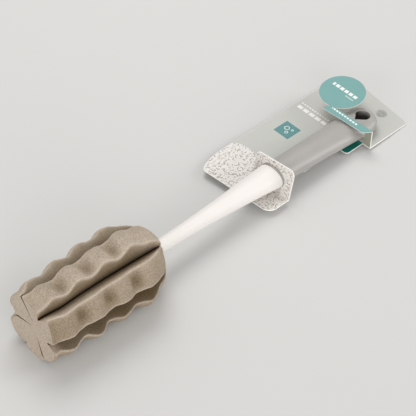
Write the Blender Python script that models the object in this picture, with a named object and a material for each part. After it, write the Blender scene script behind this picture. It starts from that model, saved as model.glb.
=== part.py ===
"""Cup brush with a six-lobed foam head, a tapering two-colour handle and its hang card.

The brush lies with its foam head on the surface at the front (-X) and its handle end
on the card at the back (+X). Metres, +Z up, origin under the middle of the whole.

Brush pieces are drawn in the brush's own frame: x runs along the handle's straight
chord from the foam's front face, z is square to it. Card pieces are drawn in the
card's frame: x along the card, z up from its printed face.
"""
import math

import bmesh
import bpy
from mathutils import Matrix, Vector

# General
CLEAR = 0.0003
BRUSH_LENGTH = 0.3114
HANDLE_BOW = 0.003

# Foam head: lobes cut by grooves, with waves along each lobe
FOAM_LENGTH = 0.1030
FOAM_REST = 0.0246
EDGE_RADIUS_FRONT = 0.0240
EDGE_RADIUS_REAR = 0.0276
FACE_RADIUS_FRONT = 0.0238
FACE_RADIUS_REAR = 0.0288
EDGE_WAVE = 0.0010
FACE_WAVE = 0.0016
WAVE_PITCH = 0.0210
WAVE_FIRST_CREST = 0.0104
LOBE_CORNER = 0.0018
GROOVE_FLOOR_RADIUS = 0.0098
NARROW_GROOVE = 0.0026
MIDDLE_GROOVE = 0.0062
WIDE_GROOVE = 0.0102
FIRST_GROOVE_TURN = math.radians(1)
WIDE_LOBE_TURN = math.radians(66)
NARROW_LOBE_TURN = math.radians(51)
FRONT_ROUND = 0.0060
FRONT_DRAW_IN = 0.0018
DOME_LENGTH = 0.0260
FOAM_LIFT = 0.0015
FOAM_NECK_WALL = 0.0014

# White handle moulding: barbed stem, shaft, collar and inner tongue
STEM_START = 0.014
STEM_RADIUS = 0.0034
BARB_PITCH = 0.0120
BARB_COUNT = 6
NECK_RADIUS = 0.0047
COLLAR_X = 0.2085
COLLAR_HALF_WIDTH = 0.0110
COLLAR_HALF_THICKNESS = 0.0074
COLLAR_ROUND = 0.0020
COLLAR_EDGE_DROP = 0.0003
SHAFT_FLARE = 1.6
TONGUE_HALF_WIDTH = 0.0070
TONGUE_HALF_THICKNESS = 0.0026

# Grey grip over the tongue, a small step lower than the collar
GRIP_STEP_SIDE = 0.0007
GRIP_STEP_TOP = 0.0005
GRIP_FRONT_HALF_WIDTH = COLLAR_HALF_WIDTH - GRIP_STEP_SIDE
GRIP_FRONT_HALF_THICKNESS = COLLAR_HALF_THICKNESS - GRIP_STEP_TOP
GRIP_REAR_HALF_WIDTH = 0.0127
GRIP_REAR_HALF_THICKNESS = 0.0061
GRIP_FLARE = 1.5
GRIP_TIP_LENGTH = 0.0145
GRIP_TIP_HALF_THICKNESS = 0.0044
HANG_HOLE_SETBACK = 0.0102
HANG_HOLE_X = BRUSH_LENGTH - HANG_HOLE_SETBACK
HANG_HOLE_RADIUS = 0.0053
HANG_HOLE_POINT = 0.0088
TONGUE_HOLE_GAP = 0.0099
TONGUE_END_X = HANG_HOLE_X - HANG_HOLE_POINT - TONGUE_HOLE_GAP

# Folded hang card: it ends past the grip, and its loop is folded up at the collar
CARD_THICKNESS = 0.0006
CARD_TILT = math.radians(1.9)
CARD_PAST_GRIP = 0.0246
CARD_REAR = BRUSH_LENGTH + CARD_PAST_GRIP
LOOP_BEFORE_COLLAR = 0.0019
LOOP_X = COLLAR_X - LOOP_BEFORE_COLLAR
FRONT_TAB_LENGTH = 0.0231
CARD_FRONT = LOOP_X - FRONT_TAB_LENGTH
CARD_FAR_SIDE = 0.0505
CARD_EAR_SIDE = 0.0198
CARD_CORNER_RADIUS = 0.0150
FRONT_TAB_NEAR_SIDE = 0.0178
FRONT_TAB_RADIUS = 0.0075
FRONT_FAR_TAPER = 0.0270
FRONT_FAR_DROP = 0.0085
FRONT_SKEW = 0.0045
REAR_SKEW = 0.0065
PANEL_NEAR_SIDE = 0.0050
WINDOW_LENGTH = 0.0290
WING_LENGTH = 0.0170
WING_SIDE = 0.0128
WING_RADIUS = 0.0030
CARD_HOLE_SETBACK = 0.0137
CARD_HOLE_X = CARD_REAR - CARD_HOLE_SETBACK
CARD_HOLE_RADIUS = 0.0044

# Loop that the grip passes through, leaning back from its fold
LOOP_LEAN = math.radians(9.5)
LOOP_HALF_WIDTH = 0.0180
LOOP_HEIGHT = 0.0243
LOOP_RISE = 0.0030
LOOP_RADIUS = 0.0045
LOOP_HOLE_CLEAR = 0.0004

# Roof flap over the handle, rising to the back from the top of the leg that carries it
LEG_SETBACK = 0.0478
LEG_X = CARD_REAR - LEG_SETBACK
LEG_WIDTH = 0.0068
FLAP_HEIGHT = 0.0156
FLAP_RISE = math.radians(4.2)
STRAP_NEAR_REACH = 0.0054
STRAP_NEAR_CUT = 0.0045
STRAP_FAR_REACH = 0.0074
STRAP_FAR_Y = 0.0223
DISC_RADIUS = 0.01705
DISC_Y = 0.0232
DISC_BEHIND_LEG = 0.0148
NECK_FAR_TURN = 192.8
NECK_NEAR_TURN = 203.3

# Facets
SECTION_SIDES = 28
ARC_STEPS = 6
FOAM_STATIONS = 34


def clear_scene():
    for item in list(bpy.data.objects):
        bpy.data.objects.remove(item, do_unlink=True)


def material(name, colour, roughness):
    """Principled material with one colour."""
    made = bpy.data.materials.new(name)
    made.use_nodes = True
    shader = made.node_tree.nodes["Principled BSDF"]
    shader.inputs["Base Color"].default_value = (*colour, 1.0)
    shader.inputs["Roughness"].default_value = roughness
    shader.inputs["Metallic"].default_value = 0.0
    return made


def empty(name, parent, matrix):
    made = bpy.data.objects.new(name, None)
    bpy.context.scene.collection.objects.link(made)
    made.parent = parent
    made.matrix_local = matrix
    return made


def finish_object(name, mesh_data, parent, look, smooth_angle=None):
    """Turn a bmesh into a named object with outward faces."""
    bmesh.ops.recalc_face_normals(mesh_data, faces=mesh_data.faces)
    mesh = bpy.data.meshes.new(name)
    mesh_data.to_mesh(mesh)
    mesh_data.free()
    if smooth_angle is not None:
        mesh.shade_smooth()
        mesh.set_sharp_from_angle(angle=math.radians(smooth_angle))
    made = bpy.data.objects.new(name, mesh)
    bpy.context.scene.collection.objects.link(made)
    made.parent = parent
    mesh.materials.append(look)
    return made


def bow(x):
    """Height of the handle's centre line over its chord, a flat parabola."""
    share = min(max(x / BRUSH_LENGTH, 0.0), 1.0)
    return 4.0 * HANDLE_BOW * share * (1.0 - share)


def skin_rings(rings, cap_ends=True):
    """Bridge closed rings of equal count into a tube and cap both ends."""
    body = bmesh.new()
    rows = [[body.verts.new(point) for point in ring] for ring in rings]
    count = len(rows[0])
    for near, far in zip(rows, rows[1:]):
        for step in range(count):
            after = (step + 1) % count
            body.faces.new((near[step], near[after], far[after], far[step]))
    if cap_ends:
        body.faces.new(rows[0])
        body.faces.new(rows[-1])
    return body


def oval_ring(x, half_width, half_thickness):
    """Elliptical section square to the chord, raised by the bow."""
    ring = []
    for step in range(SECTION_SIDES):
        turn = 2.0 * math.pi * step / SECTION_SIDES
        ring.append(Vector((x, half_width * math.cos(turn),
                            bow(x) + half_thickness * math.sin(turn))))
    return ring


def grooves():
    """Turn and half mouth angle of each groove, from +Y towards +Z; turns repeat on both sides."""
    steps = (0.0, WIDE_LOBE_TURN, WIDE_LOBE_TURN + NARROW_LOBE_TURN)
    turns = [FIRST_GROOVE_TURN + side + step for side in (0.0, math.pi) for step in steps]
    mouths = (MIDDLE_GROOVE, NARROW_GROOVE, WIDE_GROOVE, MIDDLE_GROOVE, NARROW_GROOVE, NARROW_GROOVE)
    return [(turn, math.asin(0.5 * mouth / EDGE_RADIUS_FRONT)) for turn, mouth in zip(turns, mouths)]


def foam_wave(x):
    """Wave along the lobes: 1 on a crest and -1 in a valley, fading out over the dome."""
    return math.cos(2.0 * math.pi * (x - WAVE_FIRST_CREST) / WAVE_PITCH) * foam_scale(x) ** 3


def foam_scale(x):
    """Share of the full radius: drawn in at the front edge and domed at the back."""
    if x < FRONT_ROUND:
        missing = 1.0 - x / FRONT_ROUND
        return 1.0 - FRONT_DRAW_IN / EDGE_RADIUS_FRONT * missing * missing
    along = (x - FOAM_LENGTH + DOME_LENGTH) / DOME_LENGTH
    if along > 0.0:
        return math.sqrt(max(1.0 - along * along, 0.0))
    return 1.0


def foam_centre(x):
    """Middle of the head's section: the handle's line plus the soft head's own lift."""
    return bow(x) + FOAM_LIFT * math.sin(math.pi * x / FOAM_LENGTH)


def bore_radius():
    return NECK_RADIUS + CLEAR


def lobe_points(x):
    """Turn and radius of each point round the head: per lobe a groove floor, walls and a face."""
    neck = bore_radius() + FOAM_NECK_WALL
    share = x / FOAM_LENGTH
    edge = EDGE_RADIUS_FRONT + (EDGE_RADIUS_REAR - EDGE_RADIUS_FRONT) * share
    edge = max((edge + EDGE_WAVE * foam_wave(x)) * foam_scale(x), neck)
    face = FACE_RADIUS_FRONT + (FACE_RADIUS_REAR - FACE_RADIUS_FRONT) * share
    face = max((face + FACE_WAVE * foam_wave(x)) * foam_scale(x), neck)
    floor = max(min(GROOVE_FLOOR_RADIUS, edge), neck)
    wall_top = max(edge - LOBE_CORNER, floor)
    corner_turn = LOBE_CORNER / EDGE_RADIUS_FRONT
    points = []
    cuts = grooves()
    for number, (turn, half_mouth) in enumerate(cuts):
        next_turn, next_mouth = cuts[(number + 1) % len(cuts)]
        if next_turn < turn:
            next_turn += 2.0 * math.pi
        start, end = turn + half_mouth, next_turn - next_mouth
        middle = 0.5 * (start + end)
        points.append((turn, floor))
        points.append((turn + 0.62 * half_mouth, 0.5 * (floor + wall_top)))
        points.append((start, wall_top))
        points.append((start + corner_turn, edge))
        points.append((0.5 * (start + corner_turn + middle), 0.4 * edge + 0.6 * face))
        points.append((middle, face))
        points.append((0.5 * (end - corner_turn + middle), 0.4 * edge + 0.6 * face))
        points.append((end - corner_turn, edge))
        points.append((end, wall_top))
        points.append((next_turn - 0.62 * next_mouth, 0.5 * (floor + wall_top)))
    return points


def foam_ring(x, place):
    """Section of the head, pressed flat where it would pass the surface it lies on."""
    up = place.to_3x3().transposed() @ Vector((0.0, 0.0, 1.0))
    lowest = -(place.translation.z + up.x * x) / up.z
    ring = []
    for turn, radius in lobe_points(x):
        z = foam_centre(x) + radius * math.sin(turn)
        ring.append(Vector((x, radius * math.cos(turn), max(z, lowest))))
    return ring


def bore_ring(x):
    return [Vector((x, bore_radius() * math.cos(turn), bow(x) + bore_radius() * math.sin(turn)))
            for turn, _ in lobe_points(x)]


def foam_stations():
    """Stations along the head, closer together over the front edge and the dome."""
    dome_start = FOAM_LENGTH - DOME_LENGTH
    front = [FRONT_ROUND * share for share in (0.0, 0.3, 0.65)]
    waves = [FRONT_ROUND + (dome_start - FRONT_ROUND) * step / (FOAM_STATIONS - 1)
             for step in range(FOAM_STATIONS)]
    dome_steps = 2 * ARC_STEPS
    dome = [dome_start + DOME_LENGTH * math.sin(0.5 * math.pi * step / dome_steps)
            for step in range(1, dome_steps + 1)]
    return front + waves + dome


def build_foam_head(parent, look, place):
    """Lobed foam with a blind bore that opens at the back for the barbed stem."""
    rings = [foam_ring(x, place) for x in foam_stations()]
    end = STEM_START - CLEAR
    for step in range(ARC_STEPS + 1):
        rings.append(bore_ring(FOAM_LENGTH + (end - FOAM_LENGTH) * step / ARC_STEPS))
    return finish_object("foam_head", skin_rings(rings), parent, look, 50)


def shaft_start():
    """Where the shaft leaves the foam."""
    return FOAM_LENGTH + CLEAR


def shaft_section(x):
    """Half width and half thickness of the shaft, from round neck to oval collar."""
    share = min(max((x - shaft_start()) / (COLLAR_X - COLLAR_ROUND - shaft_start()), 0.0), 1.0)
    share = share ** SHAFT_FLARE
    width = NECK_RADIUS + (COLLAR_HALF_WIDTH - NECK_RADIUS) * share
    thickness = NECK_RADIUS + (COLLAR_HALF_THICKNESS - NECK_RADIUS) * share
    return width, thickness


def build_handle_body(parent, look):
    """White moulding: barbed stem, flared shaft, rounded collar and tongue, in one skin."""
    rings = [oval_ring(STEM_START, STEM_RADIUS, STEM_RADIUS)]
    barb_length = 0.6 * BARB_PITCH
    for number in range(BARB_COUNT):
        start = STEM_START + number * BARB_PITCH
        rings.append(oval_ring(start + 0.15 * barb_length, STEM_RADIUS, STEM_RADIUS))
        rings.append(oval_ring(start + barb_length, NECK_RADIUS, NECK_RADIUS))
        rings.append(oval_ring(start + barb_length + CLEAR, STEM_RADIUS, STEM_RADIUS))
    for step in range(15):
        x = shaft_start() + (COLLAR_X - COLLAR_ROUND - shaft_start()) * step / 14
        if step == 0:
            rings.append(oval_ring(x - NECK_RADIUS, NECK_RADIUS, NECK_RADIUS))
        rings.append(oval_ring(x, *shaft_section(x)))
    for step in range(1, ARC_STEPS + 1):
        turn = 0.5 * math.pi * step / ARC_STEPS
        x = COLLAR_X - COLLAR_ROUND + COLLAR_ROUND * math.sin(turn)
        drop = COLLAR_EDGE_DROP * (1.0 - math.cos(turn))
        rings.append(oval_ring(x, COLLAR_HALF_WIDTH - drop, COLLAR_HALF_THICKNESS - drop))
    for x in (COLLAR_X, 0.5 * (COLLAR_X + TONGUE_END_X), TONGUE_END_X):
        rings.append(oval_ring(x, TONGUE_HALF_WIDTH, TONGUE_HALF_THICKNESS))
    return finish_object("handle_body", skin_rings(rings), parent, look, 40)


def grip_full_x():
    """Last station of the grip before its rounded tip."""
    return BRUSH_LENGTH - GRIP_TIP_LENGTH


def grip_section(x):
    """Half width and half thickness of the grip, widening and thinning to the back."""
    share = (x - COLLAR_X) / (grip_full_x() - COLLAR_X)
    share = min(max(share, 0.0), 1.0)
    width = GRIP_FRONT_HALF_WIDTH
    width += (GRIP_REAR_HALF_WIDTH - GRIP_FRONT_HALF_WIDTH) * share ** GRIP_FLARE
    thickness = GRIP_FRONT_HALF_THICKNESS
    thickness += (GRIP_REAR_HALF_THICKNESS - GRIP_FRONT_HALF_THICKNESS) * share
    return width, thickness


def build_grip(parent, look):
    """Grey sleeve with a socket for the tongue, a rounded tip and a hang hole."""
    start = COLLAR_X + CLEAR
    rings = []
    for step in range(15):
        x = start + (grip_full_x() - start) * step / 14
        rings.append(oval_ring(x, *grip_section(x)))
    for step in range(1, ARC_STEPS + 2):
        turn = 0.5 * math.pi * min(step / (ARC_STEPS + 1), 0.93)
        x = grip_full_x() + GRIP_TIP_LENGTH * math.sin(turn)
        width = GRIP_REAR_HALF_WIDTH * math.cos(turn)
        thickness = GRIP_TIP_HALF_THICKNESS
        thickness += (GRIP_REAR_HALF_THICKNESS - GRIP_TIP_HALF_THICKNESS) * math.cos(turn)
        rings.append(oval_ring(x, width, thickness))
    grip = finish_object("grip", skin_rings(rings), parent, look, 40)

    socket = [oval_ring(start - NECK_RADIUS, TONGUE_HALF_WIDTH + CLEAR, TONGUE_HALF_THICKNESS + CLEAR),
              oval_ring(start, TONGUE_HALF_WIDTH + CLEAR, TONGUE_HALF_THICKNESS + CLEAR)]
    for x in (0.5 * (COLLAR_X + TONGUE_END_X), TONGUE_END_X + CLEAR):
        socket.append(oval_ring(x, TONGUE_HALF_WIDTH + CLEAR, TONGUE_HALF_THICKNESS + CLEAR))
    cut_with(grip, finish_object("grip_socket_cutter", skin_rings(socket), parent, look))
    cut_with(grip, finish_object("grip_hole_cutter", hang_hole_prism(), parent, look))
    return grip


def hang_hole_outline():
    """Teardrop: an arc of the hole's circle and two straight sides to a point in front."""
    open_angle = math.acos(HANG_HOLE_RADIUS / HANG_HOLE_POINT)
    points = [Vector((HANG_HOLE_X - HANG_HOLE_POINT, 0.0))]
    sides = 2 * ARC_STEPS + 4
    for step in range(sides + 1):
        turn = math.pi - open_angle - (2.0 * math.pi - 2.0 * open_angle) * step / sides
        points.append(Vector((HANG_HOLE_X + HANG_HOLE_RADIUS * math.cos(turn),
                              HANG_HOLE_RADIUS * math.sin(turn))))
    return points


def hang_hole_prism():
    depth = 2.0 * GRIP_REAR_HALF_THICKNESS
    rings = []
    for z in (-depth, depth):
        rings.append([Vector((p.x, p.y, bow(HANG_HOLE_X) + z)) for p in hang_hole_outline()])
    return skin_rings(rings)


def cut_with(target, cutter):
    """Boolean difference; the cutter stays out of the model."""
    cutter.hide_render = True
    cutter.display_type = "WIRE"
    cut = target.modifiers.new("cut", "BOOLEAN")
    cut.operation = "DIFFERENCE"
    cut.solver = "EXACT"
    cut.object = cutter


def corner_arc(centre, radius, start, end):
    """Points of an arc in a card's plane, angles in degrees from +x towards +y."""
    points = []
    for step in range(ARC_STEPS + 1):
        turn = math.radians(start + (end - start) * step / ARC_STEPS)
        points.append((centre[0] + radius * math.cos(turn), centre[1] + radius * math.sin(turn)))
    return points


def extrude_sheet(points, z_low, z_high):
    """Closed sheet from an outline in the card's plane."""
    return skin_rings([[Vector((x, y, z_low)) for x, y in points],
                       [Vector((x, y, z_high)) for x, y in points]])


def card_outline():
    """Card blank's base: front tab, far panel, rear with an ear, and a small wing."""
    near = -FRONT_TAB_NEAR_SIDE
    front_near = CARD_FRONT + FRONT_SKEW
    corner = CARD_CORNER_RADIUS
    wing_front = LEG_X - WING_LENGTH
    points = corner_arc((front_near + FRONT_TAB_RADIUS, near + FRONT_TAB_RADIUS),
                        FRONT_TAB_RADIUS, 180, 270)
    points.append((LOOP_X, near))
    points.append((LOOP_X, LOOP_HALF_WIDTH))
    points.append((LOOP_X + WINDOW_LENGTH, LOOP_HALF_WIDTH))
    points.append((LOOP_X + WINDOW_LENGTH, -PANEL_NEAR_SIDE))
    points.append((wing_front, -PANEL_NEAR_SIDE))
    points += corner_arc((wing_front + WING_RADIUS, -WING_SIDE + WING_RADIUS), WING_RADIUS, 180, 270)
    points.append((LEG_X, -WING_SIDE))
    points.append((LEG_X, -CARD_EAR_SIDE))
    points.append((CARD_REAR - REAR_SKEW, -CARD_EAR_SIDE))
    points += corner_arc((CARD_REAR - corner, CARD_FAR_SIDE - corner), corner, 0, 90)
    for step in range(ARC_STEPS + 1):
        turn = 0.5 * math.pi * step / ARC_STEPS
        points.append((CARD_FRONT + FRONT_FAR_TAPER * (1.0 - math.sin(turn)),
                       CARD_FAR_SIDE - FRONT_FAR_DROP * (1.0 - math.cos(turn))))
    return points


def build_card_back(parent, look):
    body = extrude_sheet(card_outline(), -CARD_THICKNESS, 0.0)
    card = finish_object("card_back", body, parent, look)
    hole = skin_rings([[Vector((x, y, z)) for x, y in hole_circle()]
                       for z in (-2.0 * CARD_THICKNESS, CARD_THICKNESS)])
    cut_with(card, finish_object("card_hole_cutter", hole, parent, look))
    return card


def hole_circle():
    sides = 4 * ARC_STEPS
    return [(CARD_HOLE_X + CARD_HOLE_RADIUS * math.cos(2.0 * math.pi * step / sides),
             CARD_HOLE_RADIUS * math.sin(2.0 * math.pi * step / sides)) for step in range(sides)]


def loop_point(y, along, through):
    """Point of the leaning plate: distance up from its fold and through its thickness."""
    return Vector((LOOP_X + along * math.sin(LOOP_LEAN) + through * math.cos(LOOP_LEAN), y,
                   along * math.cos(LOOP_LEAN) - through * math.sin(LOOP_LEAN)))


def loop_axis_height(card_from_brush):
    """Height over the card at which the handle's centre line meets the leaning plate."""
    x = LOOP_X
    for _ in range(ARC_STEPS):
        point = card_from_brush @ Vector((x, 0.0, bow(x)))
        x += LOOP_X + point.z * math.tan(LOOP_LEAN) - point.x
    return point.z


def build_card_loop(parent, look, axis_height):
    """Plate folded up at the collar with an oval hole round the handle."""
    corner = LOOP_RADIUS
    wide = LOOP_HALF_WIDTH
    foot = CLEAR + CARD_THICKNESS * math.tan(LOOP_LEAN)
    low_top = LOOP_HEIGHT - LOOP_RISE
    outline = [(-wide, foot), (wide, foot)]
    outline += corner_arc((wide - corner, low_top - corner), corner, 0, 90)
    outline += corner_arc((-wide + corner, LOOP_HEIGHT - corner), corner, 90, 180)
    rings = []
    for through in (0.0, CARD_THICKNESS):
        rings.append([loop_point(y, along, through) for y, along in outline])
    loop = finish_object("card_loop", skin_rings(rings), parent, look)
    width = COLLAR_HALF_WIDTH + LOOP_HOLE_CLEAR
    height = COLLAR_HALF_THICKNESS + LOOP_HOLE_CLEAR
    rings = []
    for x in (LOOP_X - CARD_THICKNESS, LOOP_X + LOOP_HEIGHT):
        rings.append([Vector((x, width * math.cos(turn), axis_height + height * math.sin(turn)))
                      for turn in (2.0 * math.pi * step / SECTION_SIDES for step in range(SECTION_SIDES))])
    cut_with(loop, finish_object("loop_hole_cutter", skin_rings(rings), parent, look))
    return loop


def build_card_leg(parent, look):
    """Upright leg folded up from the front of the ear."""
    near = -CARD_EAR_SIDE
    outline = [(near, CLEAR), (near + LEG_WIDTH, CLEAR),
               (near + LEG_WIDTH, FLAP_HEIGHT - CLEAR), (near, FLAP_HEIGHT - CLEAR)]
    rings = []
    for x in (LEG_X, LEG_X + CARD_THICKNESS):
        rings.append([Vector((x, y, z)) for y, z in outline])
    return finish_object("card_leg", skin_rings(rings), parent, look)


def flap_outline():
    """Narrow strap across the handle with a pointed far end, joined to a round disc behind it."""
    near = -CARD_EAR_SIDE
    points = [(LEG_X, near), (LEG_X + CARD_THICKNESS, near)]
    points += disc_arc((LEG_X + DISC_BEHIND_LEG, DISC_Y), DISC_RADIUS,
                       NECK_NEAR_TURN - 360.0, NECK_FAR_TURN)
    points.append((LEG_X - STRAP_FAR_REACH, STRAP_FAR_Y))
    points.append((LEG_X - STRAP_NEAR_REACH, near + STRAP_NEAR_CUT))
    return points


def disc_arc(centre, radius, start, end):
    sides = 6 * ARC_STEPS
    points = []
    for step in range(sides + 1):
        turn = math.radians(start + (end - start) * step / sides)
        points.append((centre[0] + radius * math.cos(turn), centre[1] + radius * math.sin(turn)))
    return points


def flap_point(x, y, through):
    """Point of the flap, which rises to the back about the fold at the top of the leg."""
    along = x - LEG_X
    return Vector((LEG_X + along * math.cos(FLAP_RISE) - through * math.sin(FLAP_RISE), y,
                   FLAP_HEIGHT + along * math.sin(FLAP_RISE) + through * math.cos(FLAP_RISE)))


def build_card_flap(parent, look):
    rings = []
    for through in (0.0, CARD_THICKNESS):
        rings.append([flap_point(x, y, through) for x, y in flap_outline()])
    return finish_object("card_flap", skin_rings(rings), parent, look)


def card_matrix():
    """Frame of the card: it rests on the rear edge of its underside, front end raised."""
    turn = Matrix.Rotation(CARD_TILT, 4, "Y")
    rear_low = turn @ Vector((CARD_REAR, 0.0, -CARD_THICKNESS))
    return Matrix.Translation(Vector((CARD_REAR, 0.0, 0.0)) - rear_low) @ turn


def brush_matrix(card):
    """Frame of the brush: foam on the surface, last full grip section on the card."""
    rest_x = grip_full_x()
    seat = card @ Vector((rest_x, 0.0, GRIP_REAR_HALF_THICKNESS + CLEAR - bow(rest_x)))
    tilt = math.asin((FOAM_REST - seat.z) / rest_x)
    return Matrix.Translation(Vector((0.0, 0.0, FOAM_REST))) @ Matrix.Rotation(tilt, 4, "Y")


def world_bounds(objects):
    """Lowest and highest corners of the finished solids."""
    bpy.context.view_layer.update()
    graph = bpy.context.evaluated_depsgraph_get()
    low = Vector((math.inf, math.inf, math.inf))
    high = -low
    for item in objects:
        evaluated = item.evaluated_get(graph)
        for vert in evaluated.data.vertices:
            place = item.matrix_world @ vert.co
            low = Vector(map(min, low, place))
            high = Vector(map(max, high, place))
    return low, high


def main():
    clear_scene()
    foam_look = material("foam", (0.44, 0.38, 0.29), 0.95)
    white_look = material("white_plastic", (0.84, 0.80, 0.75), 0.35)
    grey_look = material("grey_rubber", (0.42, 0.40, 0.38), 0.55)
    board_look = material("grey_board", (0.55, 0.55, 0.50), 0.7)
    print_look = material("bubble_board", (0.72, 0.70, 0.68), 0.7)
    teal_look = material("teal_board", (0.24, 0.45, 0.43), 0.7)

    root = empty("cup_brush", None, Matrix.Identity(4))
    card_place = card_matrix()
    brush_place = brush_matrix(card_place)
    brush_frame = empty("brush_frame", root, brush_place)
    card_frame = empty("card_slide", root, card_place)

    axis_at_loop = loop_axis_height(card_place.inverted() @ brush_place)
    objects = [
        build_foam_head(brush_frame, foam_look, brush_place),
        build_handle_body(brush_frame, white_look),
        build_grip(brush_frame, grey_look),
        build_card_back(card_frame, board_look),
        build_card_loop(card_frame, print_look, axis_at_loop),
        build_card_leg(card_frame, board_look),
        build_card_flap(card_frame, teal_look),
    ]
    low, high = world_bounds(objects)
    middle = 0.5 * (low + high)
    root.location = Vector((-middle.x, -middle.y, -low.z))


main()
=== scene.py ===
"""Looks of the foam cup brush and its folded hang card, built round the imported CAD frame."""

import math

import bmesh
import bpy
import numpy as np
from mathutils import Matrix, Vector, geometry


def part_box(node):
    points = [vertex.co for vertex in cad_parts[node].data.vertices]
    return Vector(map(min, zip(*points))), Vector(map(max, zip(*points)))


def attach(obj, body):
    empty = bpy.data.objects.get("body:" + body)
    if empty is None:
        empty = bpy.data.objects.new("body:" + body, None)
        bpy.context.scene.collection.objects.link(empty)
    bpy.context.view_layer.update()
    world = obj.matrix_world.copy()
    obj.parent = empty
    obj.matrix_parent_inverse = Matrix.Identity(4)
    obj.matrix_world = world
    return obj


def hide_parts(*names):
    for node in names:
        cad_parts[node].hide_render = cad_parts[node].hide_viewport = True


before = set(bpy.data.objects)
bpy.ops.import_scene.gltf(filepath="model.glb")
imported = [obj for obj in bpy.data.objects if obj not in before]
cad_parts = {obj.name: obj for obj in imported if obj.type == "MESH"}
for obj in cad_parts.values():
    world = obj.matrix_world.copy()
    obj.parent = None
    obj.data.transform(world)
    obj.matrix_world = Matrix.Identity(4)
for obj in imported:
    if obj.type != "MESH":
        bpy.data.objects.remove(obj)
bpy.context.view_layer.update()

bl_info = {
    "name": "Cup brush on its hang card",
    "version": (1, 0, 0),
    "blender": (4, 5, 0),
    "location": "3D View > Sidebar > Cup brush",
    "description": "Builds a lobed foam cup brush, its two-colour handle and a folded hang card",
    "category": "Object",
}

SIDES = 96                # points round the handle
CLEAR = 0.0003            # gap between pieces that fit together
FOAM_REST = 0.0246        # height of the foam's middle over the floor
FRONT_X = -0.167416       # place of the foam's front face
STEM_START = 0.014        # where the stem's end lies behind that face
TONGUE_LENGTH = 0.074     # tongue in the grip, with its half width and half thickness
TONGUE_WIDTH = 0.0070
TONGUE_THICKNESS = 0.0026
FLOOR_REACH = 3.0         # half side of the floor


def srgb(red, green, blue):
    """Linear colour of a display colour given from 0 to 255."""
    parts = np.array([red, green, blue]) / 255.0
    linear = np.where(parts <= 0.04045, parts / 12.92, ((parts + 0.055) / 1.055) ** 2.4)
    return tuple(float(part) for part in linear)


def size_of(label, words, value):
    return bpy.props.FloatProperty(name=label, description=words, default=value, min=0.0,
                                   unit="LENGTH", precision=5)


def share_of(label, words, value, high=10.0):
    return bpy.props.FloatProperty(name=label, description=words, default=value, min=0.0, max=high)


def angle_of(label, words, degrees):
    return bpy.props.FloatProperty(name=label, description=words, default=math.radians(degrees),
                                   subtype="ANGLE", unit="ROTATION")


def colour_of(label, words, red, green, blue):
    return bpy.props.FloatVectorProperty(name=label, description=words, subtype="COLOR",
                                         default=srgb(red, green, blue), min=0.0, max=1.0, size=3)


class FoamSettings(bpy.types.PropertyGroup):
    """Sizes and colours of the lobed foam head."""
    length: size_of("Length", "Length of the head along the handle", 0.1020)
    edge_front: size_of("Front edge radius", "Radius of the lobe edges at the front", 0.0240)
    edge_rear: size_of("Rear edge radius", "Radius of the lobe edges towards the back", 0.0276)
    face_front: size_of("Front face radius", "Radius of the lobe faces at the front", 0.0238)
    face_rear: size_of("Rear face radius", "Radius of the lobe faces towards the back", 0.0288)
    edge_wave: size_of("Edge wave", "Height of the wave along the lobe edges", 0.0011)
    face_wave: size_of("Face wave", "Height of the wave along the lobe faces", 0.0013)
    dimple: size_of("Dimple", "Extra depth in the middle of each valley", 0.0027)
    pitch: size_of("Wave pitch", "Distance from crest to crest", 0.0210)
    first_crest: size_of("First crest", "Distance of the first crest from the front", 0.0104)
    corner: size_of("Edge rounding", "Rounding of the cut lobe edges", 0.0011)
    front_corner: size_of("Front rounding", "Rounding round the flat front face", 0.0010)
    opening: size_of("Opening", "Distance over which the cuts open from the front face", 0.0200)
    scallop: size_of("Scallop", "How far the lobe edges step back and forth", 0.0010)
    slit: size_of("Shut cut", "Half width of the cuts where they stay shut", 0.00025)
    # Painted shade in the middle of the valleys of the wave
    valley_shade: share_of("Valley tone", "How far the valleys take the deeper tone", 0.6, 1.0)
    dome: size_of("Dome", "Length of the rounded back end", 0.0260)
    lift: size_of("Lift", "How far the soft head stands above the handle's line", 0.0015)
    light: colour_of("Foam", "Colour of the cut foam", 195, 182, 168)
    # The pores' colour is also painted as shade down the walls of the cuts
    pore_and_shade_colour: colour_of("Foam pores", "Colour down in the pores", 128, 110, 80)
    # Painted shade along the floors of the cuts
    dark: colour_of("Foam shade", "Colour at the floor of the cuts", 68, 52, 26)


class HandleSettings(bpy.types.PropertyGroup):
    """Sizes and colours of the white moulding and the grey grip."""
    length: size_of("Length", "Length of the whole brush", 0.3114)
    bow: size_of("Bow", "Rise of the handle in its middle", 0.0030)
    neck: size_of("Neck radius", "Radius of the shaft where it leaves the foam", 0.0047)
    stem: size_of("Stem radius", "Radius of the stem between its barbs", 0.0034)
    collar_x: size_of("Collar", "Where the white shaft ends", 0.2085)
    collar_width: size_of("Collar half width", "Half width of the shaft at its collar", 0.0110)
    collar_thickness: size_of("Collar half thickness", "Half thickness at the collar", 0.0074)
    grip_front_width: size_of("Grip front half width", "Half width behind the collar", 0.0103)
    grip_front_thickness: size_of("Grip front half thickness", "Half thickness there", 0.0069)
    grip_width: size_of("Grip half width", "Greatest half width of the grip", 0.0127)
    grip_thickness: size_of("Grip half thickness", "Half thickness at its back", 0.0061)
    tip_length: size_of("Tip length", "Length of the rounded tip", 0.0145)
    hole_x: size_of("Hang hole", "Distance of the hang hole from the foam's front", 0.3012)
    hole_radius: size_of("Hang hole radius", "Radius of the round part of the hole", 0.0053)
    hole_point: size_of("Hang hole point", "How far its point reaches from its middle", 0.0088)
    hole_rim: size_of("Hole rim", "Rounding round the hang hole", 0.0006)
    white: colour_of("White", "Colour of the shaft", 237, 233, 229)
    # Painted shade down in the hang hole
    inside: colour_of("Hole wall", "Colour down in the hang hole", 52, 48, 44)
    grey: colour_of("Grey", "Colour of the grip", 163, 160, 156)


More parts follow.
